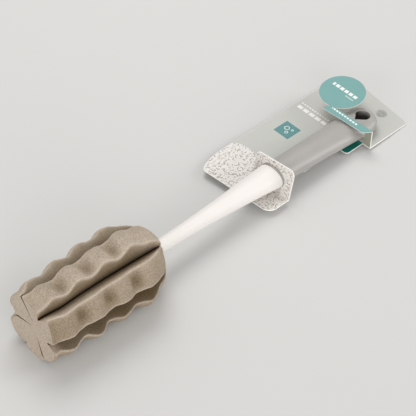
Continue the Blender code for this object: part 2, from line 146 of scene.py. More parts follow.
class CardSettings(bpy.types.PropertyGroup):
    """Sizes and colours of the folded hang card."""
    thickness: size_of("Board", "Thickness of the board", 0.0006)
    edge: size_of("Cut bevel", "Width of the pale bevel where the board is cut", 0.0003)
    tilt: angle_of("Tilt", "Angle at which the card leans on its back edge", 1.9)
    front: size_of("Front", "Where the card starts along the brush", 0.1835)
    rear: size_of("Back", "Where the card ends along the brush", 0.3360)
    far_side: size_of("Far side", "Reach of the card beyond the handle", 0.0505)
    ear_side: size_of("Near side", "Reach of the card's ear on the near side", 0.0198)
    hole_x: size_of("Punched hole", "Place of the punched hole", 0.3223)
    hole_radius: size_of("Punched hole radius", "Radius of the punched hole", 0.0044)
    loop_x: size_of("Loop", "Fold line of the upright loop", 0.2066)
    loop_height: size_of("Loop height", "Height of the loop up its own plate", 0.0243)
    loop_lean: angle_of("Loop lean", "How far the loop leans back", 9.5)
    loop_half_width: size_of("Loop half width", "Half width of the upright loop", 0.0180)
    leg_x: size_of("Leg", "Fold line of the upright leg", 0.2882)
    leg_width: size_of("Leg width", "Width of the upright leg", 0.0068)
    flap_height: size_of("Flap height", "Height of the fold at the top of the leg", 0.0156)
    flap_rise: angle_of("Flap rise", "How far the flap rises to the back", 4.2)
    disc_radius: size_of("Disc radius", "Radius of the round end of the flap", 0.01705)
    face: colour_of("Card", "Colour of the printed face", 197, 198, 193)
    # The leg is the card's print painted darker as shade
    leg: colour_of("Leg", "Colour of the printed leg", 156, 156, 144)
    back: colour_of("Card back", "Colour of the plain back", 214, 212, 206)
    cut: colour_of("Cut edge", "Colour of the cut edges", 252, 251, 246)
    teal: colour_of("Teal", "Colour of the flap", 119, 166, 164)
    square: colour_of("Square", "Colour of the printed square", 95, 147, 147)
    # Teal print of the small wing, painted dark as shade
    teal_in_shade: colour_of("Deep teal", "Colour of the small tab", 22, 118, 106)
    paper: colour_of("Print ground", "Ground of the bubble print", 229, 226, 221)
    ink: colour_of("Print ink", "Lines of the bubble print", 158, 148, 140)


class StageSettings(bpy.types.PropertyGroup):
    """Floor, light and camera."""
    floor: colour_of("Floor", "Colour of the floor", 211, 211, 210)
    key: share_of("Key light", "Strength of the large soft light", 1.0)
    fill: share_of("Fill light", "Strength of the light from all round", 1.0)
    azimuth: angle_of("Camera turn", "Turn of the camera round the brush", -42.97)
    elevation: angle_of("Camera height", "Angle of the camera above the floor", 47.0)
    distance: size_of("Camera distance", "Distance of the camera from its target", 0.9691)
    lens: bpy.props.FloatProperty(name="Lens", description="Focal length on a 36 mm wide frame",
                                  default=121.15, min=10.0, subtype="DISTANCE_CAMERA")
    target: bpy.props.FloatVectorProperty(name="Target", description="Point the camera looks at",
                                          default=(-0.0028, 0.0065, 0.0), size=3,
                                          subtype="TRANSLATION", unit="LENGTH", precision=5)


def foam():
    return bpy.context.scene.cup_brush_foam


def handle():
    return bpy.context.scene.cup_brush_handle


def card():
    return bpy.context.scene.cup_brush_card


def bow(x):
    """Height of the handle's line over its chord: a flat parabola, nought at both ends."""
    share = np.clip(x / handle().length, 0.0, 1.0)
    return 4.0 * handle().bow * share * (1.0 - share)


def card_matrix():
    """Frame of the card: x along it, z up from its printed face, read off the CAD card's box."""
    c = card()
    low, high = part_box("card_back")
    turn = Matrix.Rotation(c.tilt, 4, "Y")
    x = high.x - c.rear * math.cos(c.tilt)
    y = high.y - c.far_side
    z = low.z + c.rear * math.sin(c.tilt) + c.thickness * math.cos(c.tilt)
    return Matrix.Translation((x, y, z)) @ turn


def brush_matrix():
    """Frame of the brush: its origin is the middle of the foam's front, its x the chord."""
    h = handle()
    place = card_matrix()
    rest_x = h.length - h.tip_length
    seat = place @ Vector((rest_x, 0.0, h.grip_thickness + CLEAR - float(bow(rest_x))))
    tilt = math.asin((FOAM_REST - seat.z) / rest_x)
    return (Matrix.Translation((FRONT_X, place.translation.y, FOAM_REST))
            @ Matrix.Rotation(tilt, 4, "Y"))


def placed(points, matrix):
    """Points of any array shape, moved by a 4 by 4 matrix."""
    turn = np.array(matrix)
    return points @ turn[:3, :3].T + turn[:3, 3]


def polar(turn, radius):
    """Flat points at a turn and a distance from the middle."""
    return np.stack([radius * np.cos(turn), radius * np.sin(turn)], -1)


def grid_faces(rows, columns, first=0):
    """Quads of a grid that is closed across its columns."""
    row, column = np.meshgrid(np.arange(rows - 1), np.arange(columns), indexing="ij")
    after = (column + 1) % columns
    quads = np.stack([row * columns + column, row * columns + after,
                      (row + 1) * columns + after, (row + 1) * columns + column], -1)
    return quads.reshape(-1, 4) + first


def cap_faces(row, columns, pole):
    """Triangles from one row of a closed grid to a pole."""
    step = np.arange(columns)
    return np.stack([row * columns + step, row * columns + (step + 1) % columns,
                     np.full(columns, pole)], -1)


def closed_skin(rings):
    """Vertices and faces of a tube of rings, each end drawn to a pole in its middle."""
    rows, columns = rings.shape[:2]
    poles = np.stack([rings[0].mean(0), rings[-1].mean(0)])
    points = np.concatenate([rings.reshape(-1, 3), poles])
    faces = grid_faces(rows, columns).tolist()
    faces += cap_faces(0, columns, rows * columns).tolist()
    faces += cap_faces(rows - 1, columns, rows * columns + 1).tolist()
    return points, faces


def make_piece(name, points, faces, materials, body, merge=0.0, sharp=25):
    """A named object with outward faces that rides on a CAD body, smooth under the angle sharp."""
    mesh = bpy.data.meshes.new(name)
    mesh.from_pydata(points.tolist(), [], faces)
    work = bmesh.new()
    work.from_mesh(mesh)
    if merge:
        bmesh.ops.remove_doubles(work, verts=work.verts, dist=merge)
    bmesh.ops.recalc_face_normals(work, faces=work.faces)
    work.to_mesh(mesh)
    work.free()
    mesh.polygons.foreach_set("use_smooth", [True] * len(mesh.polygons))
    mesh.set_sharp_from_angle(angle=math.radians(sharp))
    for look in materials:
        mesh.materials.append(look)
    piece = bpy.data.objects.new(name, mesh)
    bpy.context.scene.collection.objects.link(piece)
    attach(piece, body)
    return piece


def point_values(piece, name, values):
    """Stores one number for each vertex, for the material to read."""
    layer = piece.data.attributes.new(name, "FLOAT", "POINT")
    layer.data.foreach_set("value", np.asarray(values, np.float32).ravel())


def smooth_step(value):
    share = np.clip(value, 0.0, 1.0)
    return share * share * (3.0 - 2.0 * share)


# Shader tools

BLACK, WHITE = (0.0, 0.0, 0.0), (1.0, 1.0, 1.0)


def feed(tree, socket, value):
    """Links a socket to an output or sets its value; a colour of three parts gets its alpha."""
    if isinstance(value, bpy.types.NodeSocket):
        tree.links.new(value, socket)
    elif socket.type == "RGBA":
        socket.default_value = (*value, 1.0)
    else:
        socket.default_value = value


def add_node(tree, kind, inputs, output=0, **settings):
    """Output of a new shader node; inputs gives a value or a link for its sockets."""
    made = tree.nodes.new("ShaderNode" + kind)
    for name, value in settings.items():
        setattr(made, name, value)
    for name, value in inputs.items():
        if value is not None:
            feed(tree, made.inputs[name], value)
    return made.outputs[output]


def add_math(tree, operation, *values, clamp=False):
    return add_node(tree, "Math", dict(enumerate(values)), operation=operation, use_clamp=clamp)


def add_vector_math(tree, operation, first, second=None, scale=None):
    """Output of a Vector Math node; a distance comes out as a number."""
    return add_node(tree, "VectorMath", {0: first, 1: second, 3: scale},
                    "Value" if operation == "DISTANCE" else 0, operation=operation)


def add_mix(tree, factor, first, second, blend="MIX"):
    """Output of a colour Mix node."""
    return add_node(tree, "Mix", {"Factor": factor, "A": first, "B": second}, "Result",
                    data_type="RGBA", blend_type=blend)


def add_range(tree, value, low, high, to_low=0.0, to_high=1.0):
    """Smooth step of a value from one range to another."""
    return add_node(tree, "MapRange", {"Value": value, "From Min": low, "From Max": high,
                                       "To Min": to_low, "To Max": to_high},
                    "Result", interpolation_type="SMOOTHSTEP")


def add_noise(tree, vector, scale, detail=1.0, rough=0.5):
    return add_node(tree, "TexNoise", {"Vector": vector, "Scale": scale, "Detail": detail,
                                       "Roughness": rough}, "Fac")


def add_attribute(tree, name, output="Fac"):
    return add_node(tree, "Attribute", {}, output, attribute_type="GEOMETRY", attribute_name=name)


def new_group(name, outputs, **inputs):
    """Shader node group. An input's default says its kind: none for a vector, a number, or a
    colour; an output is a number, or a colour if it is called so."""
    tree = bpy.data.node_groups.new(name, "ShaderNodeTree")
    for label, value in inputs.items():
        kind = "Vector" if value is None else "Float" if isinstance(value, float) else "Color"
        socket = tree.interface.new_socket(name=label, in_out="INPUT", socket_type="NodeSocket" + kind)
        if value is not None:
            socket.default_value = value
    for label in outputs:
        kind = "Color" if label == "Colour" else "Float"
        tree.interface.new_socket(name=label, in_out="OUTPUT", socket_type="NodeSocket" + kind)
    start = tree.nodes.new("NodeGroupInput")
    return tree, start.outputs, tree.nodes.new("NodeGroupOutput").inputs


def use_group(tree, name, **values):
    """Outputs of a group placed in a material; keywords name its inputs."""
    return add_node(tree, "Group", values, node_tree=bpy.data.node_groups[name]).node.outputs


def in_sizes(tree, start):
    """A group's Place, measured in its Size."""
    return add_vector_math(tree, "SCALE", start["Place"],
                           scale=add_math(tree, "DIVIDE", 1.0, start["Size"]))


def make_grain_group():
    """Fine grain: two noises of given size, as a mask round 0.5 and a height."""
    tree, start, end = new_group("fine_grain", ("Mask", "Height"), Place=None, Size=0.0005)
    spread = in_sizes(tree, start)
    coarse = add_noise(tree, spread, 1.0, 2.0, 0.6)
    fine = add_noise(tree, spread, 2.7)
    both = add_math(tree, "MULTIPLY_ADD", fine, 0.45, add_math(tree, "MULTIPLY", coarse, 0.55))
    feed(tree, end["Mask"], both)
    feed(tree, end["Height"], add_math(tree, "SUBTRACT", both, 0.5))


def make_mottle_group():
    """Slow unevenness of colour: mixes the colour towards a darker one by a wide noise."""
    tree, start, end = new_group("mottle", ("Colour",), Place=None, Size=0.012, Amount=0.1,
                                 Colour=(0.5, 0.5, 0.5, 1.0))
    cloud = add_range(tree, add_noise(tree, in_sizes(tree, start), 1.0, 3.0, 0.55), 0.3, 0.7)
    darker = add_mix(tree, start["Amount"], start["Colour"], BLACK)
    feed(tree, end["Colour"], add_mix(tree, cloud, darker, start["Colour"]))


def make_disc_group():
    """1 inside a circle in the card's plane, falling to 0 over a thin edge."""
    tree, start, end = new_group("disc_mask", ("Mask",), Place=None, Centre=None, Radius=0.01,
                                 Edge=0.0001)
    flat = add_vector_math(tree, "MULTIPLY", start["Place"], (1.0, 1.0, 0.0))
    away = add_vector_math(tree, "DISTANCE", flat, start["Centre"])
    over = add_math(tree, "SUBTRACT", start["Radius"], away)
    feed(tree, end["Mask"], add_math(tree, "DIVIDE", over, start["Edge"], clamp=True))


def make_bar_group():
    """1 inside an upright rectangle in the card's plane, given by its middle and half sizes."""
    tree, start, end = new_group("bar_mask", ("Mask",), Place=None, Centre=None, Half=None,
                                 Edge=0.0001)
    off = add_vector_math(tree, "SUBTRACT", start["Place"], start["Centre"])
    inside = add_vector_math(tree, "SUBTRACT", start["Half"], add_vector_math(tree, "ABSOLUTE", off))
    split = add_node(tree, "SeparateXYZ", {0: inside}).node.outputs
    least = add_math(tree, "MINIMUM", split[0], split[1])
    feed(tree, end["Mask"], add_math(tree, "DIVIDE", least, start["Edge"], clamp=True))


def make_bubble_group():
    """Drawn bubbles: thin broken rings round scattered points, large and small, on a pale ground."""
    tree, start, end = new_group("bubble_print", ("Colour",), Place=None,
                                 Ground=(0.8, 0.8, 0.8, 1.0), Ink=(0.3, 0.3, 0.3, 1.0))
    rings = []
    for size, ring, line, breaks in ((0.0052, 0.37, 0.075, 0.50), (0.0026, 0.33, 0.11, 0.56)):
        away = add_node(tree, "TexVoronoi", {"Vector": start["Place"], "Scale": 1.0 / size,
                                             "Randomness": 0.8}, "Distance", voronoi_dimensions="2D")
        off = add_math(tree, "ABSOLUTE", add_math(tree, "SUBTRACT", away, ring))
        drawn = add_range(tree, off, line * 0.45, line, 1.0, 0.0)
        cloud = add_noise(tree, start["Place"], 1.6 / size)
        gaps = add_range(tree, cloud, breaks - 0.03, breaks + 0.03)
        rings.append(add_math(tree, "MULTIPLY", drawn, gaps))
    lines = add_math(tree, "MAXIMUM", *rings)
    feed(tree, end["Colour"], add_mix(tree, lines, start["Ground"], start["Ink"]))


# Materials

# Print on the card and the flap: middle, then a radius or two half sizes. A row of dashes has
# its pitch and the share of it that is drawn too, and on the flap its x starts at the leg's fold.
PRINT_END = (0.2045, 0.0375, 0.0190)
PRINT_TAB = (0.1900, 0.0, 0.0166, 0.1)
SQUARE = (0.2575, 0.0336, 0.0072, 0.0072)
RINGS = ((0.2590, 0.0353, 0.0021), (0.2553, 0.0325, 0.0014), (0.2600, 0.0308, 0.0010))
RING_LINE, RING_EDGE = 0.0005, 0.00008
RING_INK, CARD_INK, FLAP_INK = (0.9, 0.9, 0.88), (0.88, 0.87, 0.84), (0.82, 0.86, 0.84)
WING = (0.2797, -0.0100, 0.0085, 0.0050)
CARD_DASHES = ((0.2828, 0.0330, 0.0016, 0.0142, 0.0060, 0.78),
               (0.2874, 0.0343, 0.0006, 0.0142, 0.0026, 0.62))
FLAP_DASHES = ((-0.0026, 0.0050, 0.0009, 0.0125, 0.0027, 0.7),
               (0.0171, 0.0228, 0.0015, 0.0118, 0.0043, 0.75),
               (0.0133, 0.0155, 0.0005, 0.0040, 0.0016, 0.6))
HOLE_SHADE_EDGE = 0.0002                       # how far the painted shade in the grip's hole comes up its rim
HOLE_POINT_SHADE = (-0.0052, 0.0023)      # shift and radius of the painted shade in the hole's point


def mottled(tree, place, size, amount, colour):
    return use_group(tree, "mottle", Place=place, Size=size, Amount=amount, Colour=colour)["Colour"]


def disc(tree, place, x, y, radius, edge=0.0002):
    """Mask of a disc seen from above."""
    return use_group(tree, "disc_mask", Place=place, Centre=(x, y, 0.0), Radius=radius,
                     Edge=edge)["Mask"]


def bar(tree, flat, x, y, half_x, half_y, edge=0.0001):
    """Mask of a rectangle on a board."""
    return use_group(tree, "bar_mask", Place=flat, Centre=(x, y, 0.0), Half=(half_x, half_y, 1.0),
                     Edge=edge)["Mask"]


def dashes(tree, flat, x, y, half_x, half_y, pitch, drawn):
    """Mask of a row of plain dashes along y, a share of every pitch drawn."""
    across = add_node(tree, "SeparateXYZ", {0: flat}, 1)
    along = add_math(tree, "DIVIDE", add_math(tree, "SUBTRACT", across, y - half_y), pitch)
    step = add_math(tree, "LESS_THAN", add_math(tree, "FRACT", along), drawn)
    return add_math(tree, "MULTIPLY", bar(tree, flat, x, y, half_x, half_y), step)


def bubbles(tree, flat):
    return use_group(tree, "bubble_print", Place=flat, Ground=card().paper, Ink=card().ink)["Colour"]


def card_place(tree):
    """The board's own flat coordinates, stored on its vertices."""
    return add_attribute(tree, "card_place", "Vector")


def start_material(name, specular, grain_size=None):
    """Material with its Principled shader's sockets, Object coordinates and any fine grain."""
    look = bpy.data.materials.new(name)
    look.use_nodes = True
    tree = look.node_tree
    shader = tree.nodes["Principled BSDF"].inputs
    shader["Specular IOR Level"].default_value = specular
    place = add_node(tree, "TexCoord", {}, "Object")
    grain = grain_size and use_group(tree, "fine_grain", Place=place, Size=grain_size)
    return look, tree, shader, place, grain


def dress(tree, shader, grain, colour, depth, rough=None, strength=1.0):
    """Colour, relief of a depth in metres, and a roughness that follows the grain."""
    feed(tree, shader["Base Color"], colour)
    if rough:
        feed(tree, shader["Roughness"], add_range(tree, grain["Mask"], 0.3, 0.7, *rough))
    feed(tree, shader["Normal"], add_node(
        tree, "Bump", {"Strength": strength, "Distance": depth, "Height": grain["Height"]}, "Normal"))


def foam_material(name, shaded):
    """Cut open-cell foam: pores darker than the ground; where shaded, painted shade olive down the
    cuts and dark at their floors, and painted highlight pale at the edges.
    """
    look, tree, shader, place, grain = start_material(name, 0.15, 0.00085)
    light, pore_and_shade_colour = np.array(foam().light), np.array(foam().pore_and_shade_colour)
    for label, value in (("Roughness", 0.95), ("Specular Tint", pore_and_shade_colour), ("Sheen Weight", 0.04),
                         ("Sheen Tint", light), ("Sheen Roughness", 0.6)):
        feed(tree, shader[label], value)
    colour = mottled(tree, place, 0.009, 0.07, light)
    if shaded:
        # Painted shade: olive down the walls of the cuts, and dark at their floors
        groove_shade = add_math(tree, "MULTIPLY", add_attribute(tree, "groove_shade"), 0.85)
        colour = add_mix(tree, groove_shade, colour, pore_and_shade_colour)
        colour = add_mix(tree, add_attribute(tree, "cut_floor_shade"), colour, foam().dark)
    pores = add_range(tree, grain["Mask"], 0.34, 0.57, 0.66, 0.0)
    colour = add_mix(tree, pores, colour, pore_and_shade_colour / light, "MULTIPLY")
    if shaded:
        # Painted highlight along the edges of the lobes
        rim = add_math(tree, "MULTIPLY", add_attribute(tree, "rim"), 0.3)
        colour = add_mix(tree, rim, colour, np.minimum(light * 1.2, 1.0))
    dress(tree, shader, grain, colour, 0.0006, strength=0.65)
    return look


def plastic_material():
    """White moulding: even, faintly mottled, with a very fine moulded grain."""
    look, tree, shader, place, grain = start_material("white_moulding", 0.3, 0.0011)
    colour = mottled(tree, place, 0.02, 0.015, handle().white)
    dress(tree, shader, grain, colour, 0.00003, (0.34, 0.44))
    return look


def rubber_material():
    """Grey soft grip: satin, with a fine sprayed grain, slow unevenness and painted shade in the hang
    hole.
    """
    h = handle()
    look, tree, shader, place, grain = start_material("soft_grip", 1.0, 0.0006)
    colour = mottled(tree, place, 0.015, 0.04, h.grey)
    colour = add_mix(tree, add_range(tree, grain["Mask"], 0.35, 0.65, 0.0, 0.06), colour, WHITE)
    # Painted shade in the hang hole: a disc over its middle and a spot in its point
    for shift, radius in ((0.0, h.hole_radius + HOLE_SHADE_EDGE), HOLE_POINT_SHADE):
        middle = brush_matrix() @ Vector((h.hole_x + shift, 0.0, 0.0))
        colour = add_mix(tree, disc(tree, place, middle.x, middle.y, radius), colour, h.inside)
    dress(tree, shader, grain, colour, 0.00008, (0.34, 0.44))
    return look


def plain(field):
    """Paint of one colour of the card's settings."""
    return lambda tree, place: mottled(tree, place, 0.02, 0.03, getattr(card(), field))


def paint_card(tree, place):
    """Grey ground, bubble print at the front, square with three rings, dashes and a wing of teal print
    painted dark as shade.
    """
    c = card()
    flat = card_place(tree)
    front = add_math(tree, "MAXIMUM", disc(tree, flat, *PRINT_END),
                     bar(tree, flat, *PRINT_TAB, 0.0002))
    colour = add_mix(tree, front, mottled(tree, place, 0.03, 0.03, c.face), bubbles(tree, flat))
    colour = add_mix(tree, bar(tree, flat, *SQUARE), colour, c.square)
    for x, y, radius in RINGS:
        outer, inner = (disc(tree, flat, x, y, reach, RING_EDGE)
                        for reach in (radius, radius - RING_LINE))
        colour = add_mix(tree, add_math(tree, "SUBTRACT", outer, inner), colour, RING_INK)
    for row in CARD_DASHES:
        colour = add_mix(tree, dashes(tree, flat, *row), colour, CARD_INK)
    # Small wing of teal print, painted dark as shade
    return add_mix(tree, bar(tree, flat, *WING), colour, c.teal_in_shade)


def paint_flap(tree, place):
    """Even teal with rows of pale dashes on the strap and the round end."""
    flat = card_place(tree)
    colour = plain("teal")(tree, place)
    for x, *row in FLAP_DASHES:
        colour = add_mix(tree, dashes(tree, flat, card().leg_x + x, *row), colour, FLAP_INK)
    return colour


# Paint and strength of the paper fibre for each board material
PAINTS = {"printed_card": (paint_card, 0.03), "teal_print_board": (paint_flap, 0.02),
          "bubble_print_board": (lambda tree, place: bubbles(tree, card_place(tree)), 0.03),
          "leg_print_painted_shade": (plain("leg"), 0.03), "cut_edge": (plain("cut"), 0.03),
          "card_back_side": (plain("back"), 0.03)}


def board_material(name):
    """Coated board: its paint, with paper fibre in tone, gloss and relief."""
    look, tree, shader, place, grain = start_material(name, 0.35, 0.0009)
    paint, fibre = PAINTS[name]
    tone = add_range(tree, grain["Mask"], 0.35, 0.65, 0.0, fibre)
    dress(tree, shader, grain, add_mix(tree, tone, paint(tree, place), BLACK), 0.00002, (0.42, 0.56))
    return look


def board_looks(face):
    """Materials of a board's face, cut edges and back, each made once."""
    return [bpy.data.materials.get(name) or board_material(name)
            for name in (face, "cut_edge", "card_back_side")]


# White moulding and grip

RING_TURNS = np.arange(SIDES) * 2.0 * math.pi / SIDES
END_REACH = 0.0185        # distance in front of the hang hole at which the grip's end takes over
MOUTH, MOUTH_LENGTH = 0.0006, 0.0016             # rounding at the collar, and where it is over


def oval_rings(x, half_width, half_thickness):
    """Ellipses square to the chord, one for each station, raised by the handle's bow."""
    x, half_width, half_thickness = np.broadcast_arrays(x, half_width, half_thickness)
    rings = np.empty((len(x), SIDES, 3))
    rings[..., 0] = x[:, None]
    rings[..., 1] = half_width[:, None] * np.cos(RING_TURNS)
    rings[..., 2] = bow(x)[:, None] + half_thickness[:, None] * np.sin(RING_TURNS)
    return rings


def shaft_profile():
    """Stations with half width and half thickness along the white moulding: barbs that rise and
    drop back, a flare as a power of the way, a quarter ellipse at the collar, a lip, the tongue."""
    h = handle()
    pitch, barbs, flare, collar_round, drop = 0.0120, 6, 1.6, 0.0020, 0.0003
    along = (STEM_START + np.arange(barbs)[:, None] * pitch
             + np.array([0.15, 0.5, 0.9, 1.0, 1.0]) * 0.6 * pitch)
    along[:, 4] += CLEAR
    share = np.array([0.0, 0.35, 0.92, 1.0, 0.0])
    radius = np.broadcast_to(h.stem + (h.neck - h.stem) * share, along.shape)
    start = foam().length + CLEAR
    full = h.collar_x - collar_round
    smooth = np.linspace(0.0, 1.0, 60)
    turn = np.linspace(0.0, 0.5 * math.pi, 14)[1:]
    lip = np.array([0.3, 0.8, 1.0])

    def reach(collar, tongue):
        """Half size at every station, from its values at the collar and along the tongue."""
        return np.concatenate([[h.stem], radius.ravel(), [h.neck, h.neck],
                               h.neck + (collar - h.neck) * smooth ** flare,
                               collar - drop * (1.0 - np.cos(turn)),
                               collar - drop - drop * lip ** 2, [tongue] * 3])

    x = np.concatenate([[STEM_START], along.ravel(), [start - h.neck, start - 0.001],
                        start + (full - start) * smooth, full + (collar_round - drop) * np.sin(turn),
                        h.collar_x - drop + drop * lip, [h.collar_x + CLEAR],
                        h.collar_x + TONGUE_LENGTH * np.array([0.5, 1.0])])
    return x, reach(h.collar_width, TONGUE_WIDTH), reach(h.collar_thickness, TONGUE_THICKNESS)


def grip_size(x):
    """Half width and half thickness of the grip: the width grows as a power of the way back."""
    h = handle()
    share = np.clip((x - h.collar_x) / (h.length - h.tip_length - h.collar_x), 0.0, 1.0)
    width = h.grip_front_width + (h.grip_width - h.grip_front_width) * share ** 1.5
    thick = h.grip_front_thickness + (h.grip_thickness - h.grip_front_thickness) * share
    return width, thick


def past_tip(x):
    """Share of the way from the start of the rounded tip to its end, 0 before it."""
    h = handle()
    return np.maximum((x - (h.length - h.tip_length)) / h.tip_length, 0.0)


def grip_height(x, y):
    """Half height of the grip over a point of its plan: an ellipse across the handle that turns
    into a blunter oval round the tip."""
    width, thick = grip_size(x)
    past = np.minimum(past_tip(x), 1.0)
    out = np.clip(np.sqrt((y / width) ** 2 + past ** 2), 0.0, 1.0)
    power = 2.0 + 1.4 * smooth_step(past * 1.6)
    return thick * (1.0 - out ** power) ** (1.0 / power)


def hole_reach(turn):
    """Distance of the teardrop's rim from its middle: a circle and two tangents to the point."""
    h = handle()
    opening = math.acos(h.hole_radius / h.hole_point)
    off_point = np.abs(math.pi - np.mod(turn, 2.0 * math.pi))
    side = h.hole_radius / np.cos(np.minimum(opening - off_point, 0.5 * math.pi - 0.01))
    return np.where(off_point < opening, side, h.hole_radius)


def grip_end(join_x):
    """The grip's end round the hang hole: rays run from the hole's rim to the outline, over the
    top, down the hole's wall and back along the underside. Rows by rays by xyz."""
    h = handle()
    half, tip_rays, rim_steps, top_steps, wall_steps = SIDES // 2, 88, 6, 22, 5
    width = float(grip_size(np.array([join_x]))[0][0])
    across = np.arange(half + 1) * math.pi / half
    front = np.stack([np.full(half + 1, join_x), width * np.cos(across)], -1)
    corner = math.atan2(width, join_x - h.hole_x)
    turn = np.linspace(corner, -corner, tip_rays + 2)[1:-1]
    reach_low, reach_high = np.full(tip_rays, 0.001), np.full(tip_rays, 0.04)
    for _ in range(50):
        middle = 0.5 * (reach_low + reach_high)
        x, y = h.hole_x + middle * np.cos(turn), middle * np.sin(turn)
        inside = np.sqrt((y / grip_size(x)[0]) ** 2 + past_tip(x) ** 2) < 1.0
        reach_low = np.where(inside, middle, reach_low)
        reach_high = np.where(inside, reach_high, middle)
    tip = np.stack([h.hole_x + reach_low * np.cos(turn), reach_low * np.sin(turn)], -1)
    outline = np.concatenate([front, tip[::-1]])
    turns = np.arctan2(outline[:, 1], outline[:, 0] - h.hole_x)
    ray = polar(turns, 1.0)
    hole = hole_reach(turns)[:, None]
    rim, foot = ((h.hole_x, 0.0) + ray * reach for reach in (hole, hole + h.hole_rim))
    bend = np.linspace(0.0, 0.5 * math.pi, rim_steps)
    off = h.hole_rim * (1.0 - np.cos(bend))
    down = np.concatenate([h.hole_rim * (1.0 - np.sin(bend)), np.zeros(top_steps)])
    shares = np.sin(0.5 * math.pi * np.linspace(0.0, 1.0, top_steps + 1)[1:])
    plan = np.concatenate([rim + ray * off[:, None, None],
                           foot + shares[:, None, None] * (outline - foot)])
    height = grip_height(plan[..., 0], plan[..., 1]) - down[:, None]
    top, under = (np.concatenate([plan, (bow(plan[..., 0]) + side * height)[..., None]], -1)
                  for side in (1.0, -1.0))
    share = np.linspace(0.0, 1.0, wall_steps + 2)[1:-1, None, None]
    return np.concatenate([top[::-1], top[0] + share * (under[0] - top[0]), under])


class CUPBRUSH_OT_handle(bpy.types.Operator):
    """White moulding: barbed stem in the foam, flared shaft, collar and tongue in one skin"""
    bl_idname = "cup_brush.handle"
    bl_label = "White moulding"

    def execute(self, context):
        x, width, thick = shaft_profile()
        points, faces = closed_skin(oval_rings(x, width, thick))
        piece = make_piece("white_moulding", placed(points, brush_matrix()), faces,
                           [plastic_material()], "brush", sharp=40)
        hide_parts("handle_body")
        return {"FINISHED"}


class CUPBRUSH_OT_grip(bpy.types.Operator):
    """Grey grip: a sleeve over the tongue that widens to a rounded tip with a hang hole"""
    bl_idname = "cup_brush.grip"
    bl_label = "Grip"

    def execute(self, context):
        h = handle()
        start = h.collar_x + CLEAR
        join_x = h.hole_x - END_REACH
        socket = oval_rings(start + TONGUE_LENGTH * np.array([1.0, 0.5, 0.0]),
                            TONGUE_WIDTH + CLEAR, TONGUE_THICKNESS + CLEAR)
        steps, bend = 70, np.linspace(0.0, 0.5 * math.pi, 5)
        x = np.concatenate([start + MOUTH * (1.0 - np.cos(bend)),
                            np.linspace(start + MOUTH_LENGTH, join_x, steps)])
        less = np.concatenate([MOUTH * (1.0 - np.sin(bend)), np.zeros(steps)])
        width, thick = grip_size(x)
        sleeve = oval_rings(x, width - less, thick - less)
        points, faces = closed_skin(np.concatenate([socket, sleeve]))
        faces = [face for face in faces if len(face) == 4 or face[2] == len(points) - 2]
        end = grip_end(join_x)
        faces += grid_faces(end.shape[0], end.shape[1], len(points) - 1).tolist()
        points = np.concatenate([points[:-1], end.reshape(-1, 3)])
        piece = make_piece("soft_grip", placed(points, brush_matrix()), faces,
                           [rubber_material()], "brush", merge=0.00001, sharp=50)
        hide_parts("grip")
        return {"FINISHED"}


# Foam head

def foam_scale(x, power=0.65):
    """Share of the full radius along the head: 1, then falling over the dome, where a power of
    a half is a quarter ellipse and a larger one is more pointed."""
    f = foam()
    along = np.clip((x - f.length + f.dome) / f.dome, 0.0, 1.0)
    return (1.0 - along * along) ** power


# The six cuts between the lobes: their turns, then the points of their floors and the points up
# to which they stay shut, each at the front face and along the body
CUT_TURNS = np.radians([361.0, 67.0, 124.3, 184.0, 247.0, 298.0])
CUT_DEPTHS = 0.001 * np.array([9.8, 9.8, 10.0, 9.8, 9.8, 9.8])
SHUT_DEPTHS = 0.001 * np.array([0.4, 0.4, 3.0, 0.4, 0.4, 0.4])
FLOORS = (0.001 * np.array([(-0.7, 3.0), (-0.6, 6.4), (-5.2, 13.0), (-13.5, -0.9), (-2.9, -3.6),
                            (8.0, -18.8)]), polar(CUT_TURNS, CUT_DEPTHS))
SHUTS = (0.001 * np.array([(17.0, -1.0), (10.6, 21.6), (-5.7, 14.0), (-14.4, -0.8), (-8.1, -18.2),
                           (9.0, -20.0)]), polar(CUT_TURNS, CUT_DEPTHS + SHUT_DEPTHS))
SWINGS = (0.0, 0.0, -6.0, 0.0, 0.0, 0.0)         # degrees by which a cut turns behind the face

# Turn and share of the radius of the lobe edges before and after each cut, at the front face
# and along the body
BEFORE = np.radians([[338.0, 63.5, 106.0, 175.0, 245.0, 294.4],
                     [352.0, 47.0, 108.0, 170.5, 242.0, 293.0]])
AFTER = np.radians([[14.0, 67.0, 125.0, 193.0, 249.0, 295.2],
                    [9.0, 70.0, 132.0, 202.0, 252.0, 303.0]])
EDGE_BEFORE = np.array([[1.12, 1.03, 0.87, 0.84, 0.98, 1.05], [1.0, 1.09, 1.0, 1.0, 1.0, 1.0]])
EDGE_AFTER = np.array([[1.03, 1.02, 1.08, 0.93, 1.00, 1.05], [1.0, 1.0, 1.0, 0.99, 1.0, 1.0]])

# Places along the head
SETTLE = 0.008                                   # distance over which the waves set in
TAIL_START, TAIL_LENGTH = 0.066, 0.020           # where the first lobe sinks and walls lose tone
SWING_BELL, LIP_BELL = (0.025, 0.045), (0.032, 0.011)    # middle and reach of a swing and a lip
FRONT_SHADE_FADE, WALL_FADE = 0.025, 0.060              # over which the front's own painted shade on faces and walls fades
NECK_FOAM = 0.0014                               # least foam round the neck
WOBBLES = ((0.00022, 410.0, 2.1), (0.00014, 830.0, 4.7))    # unevenness: height, pace and shift

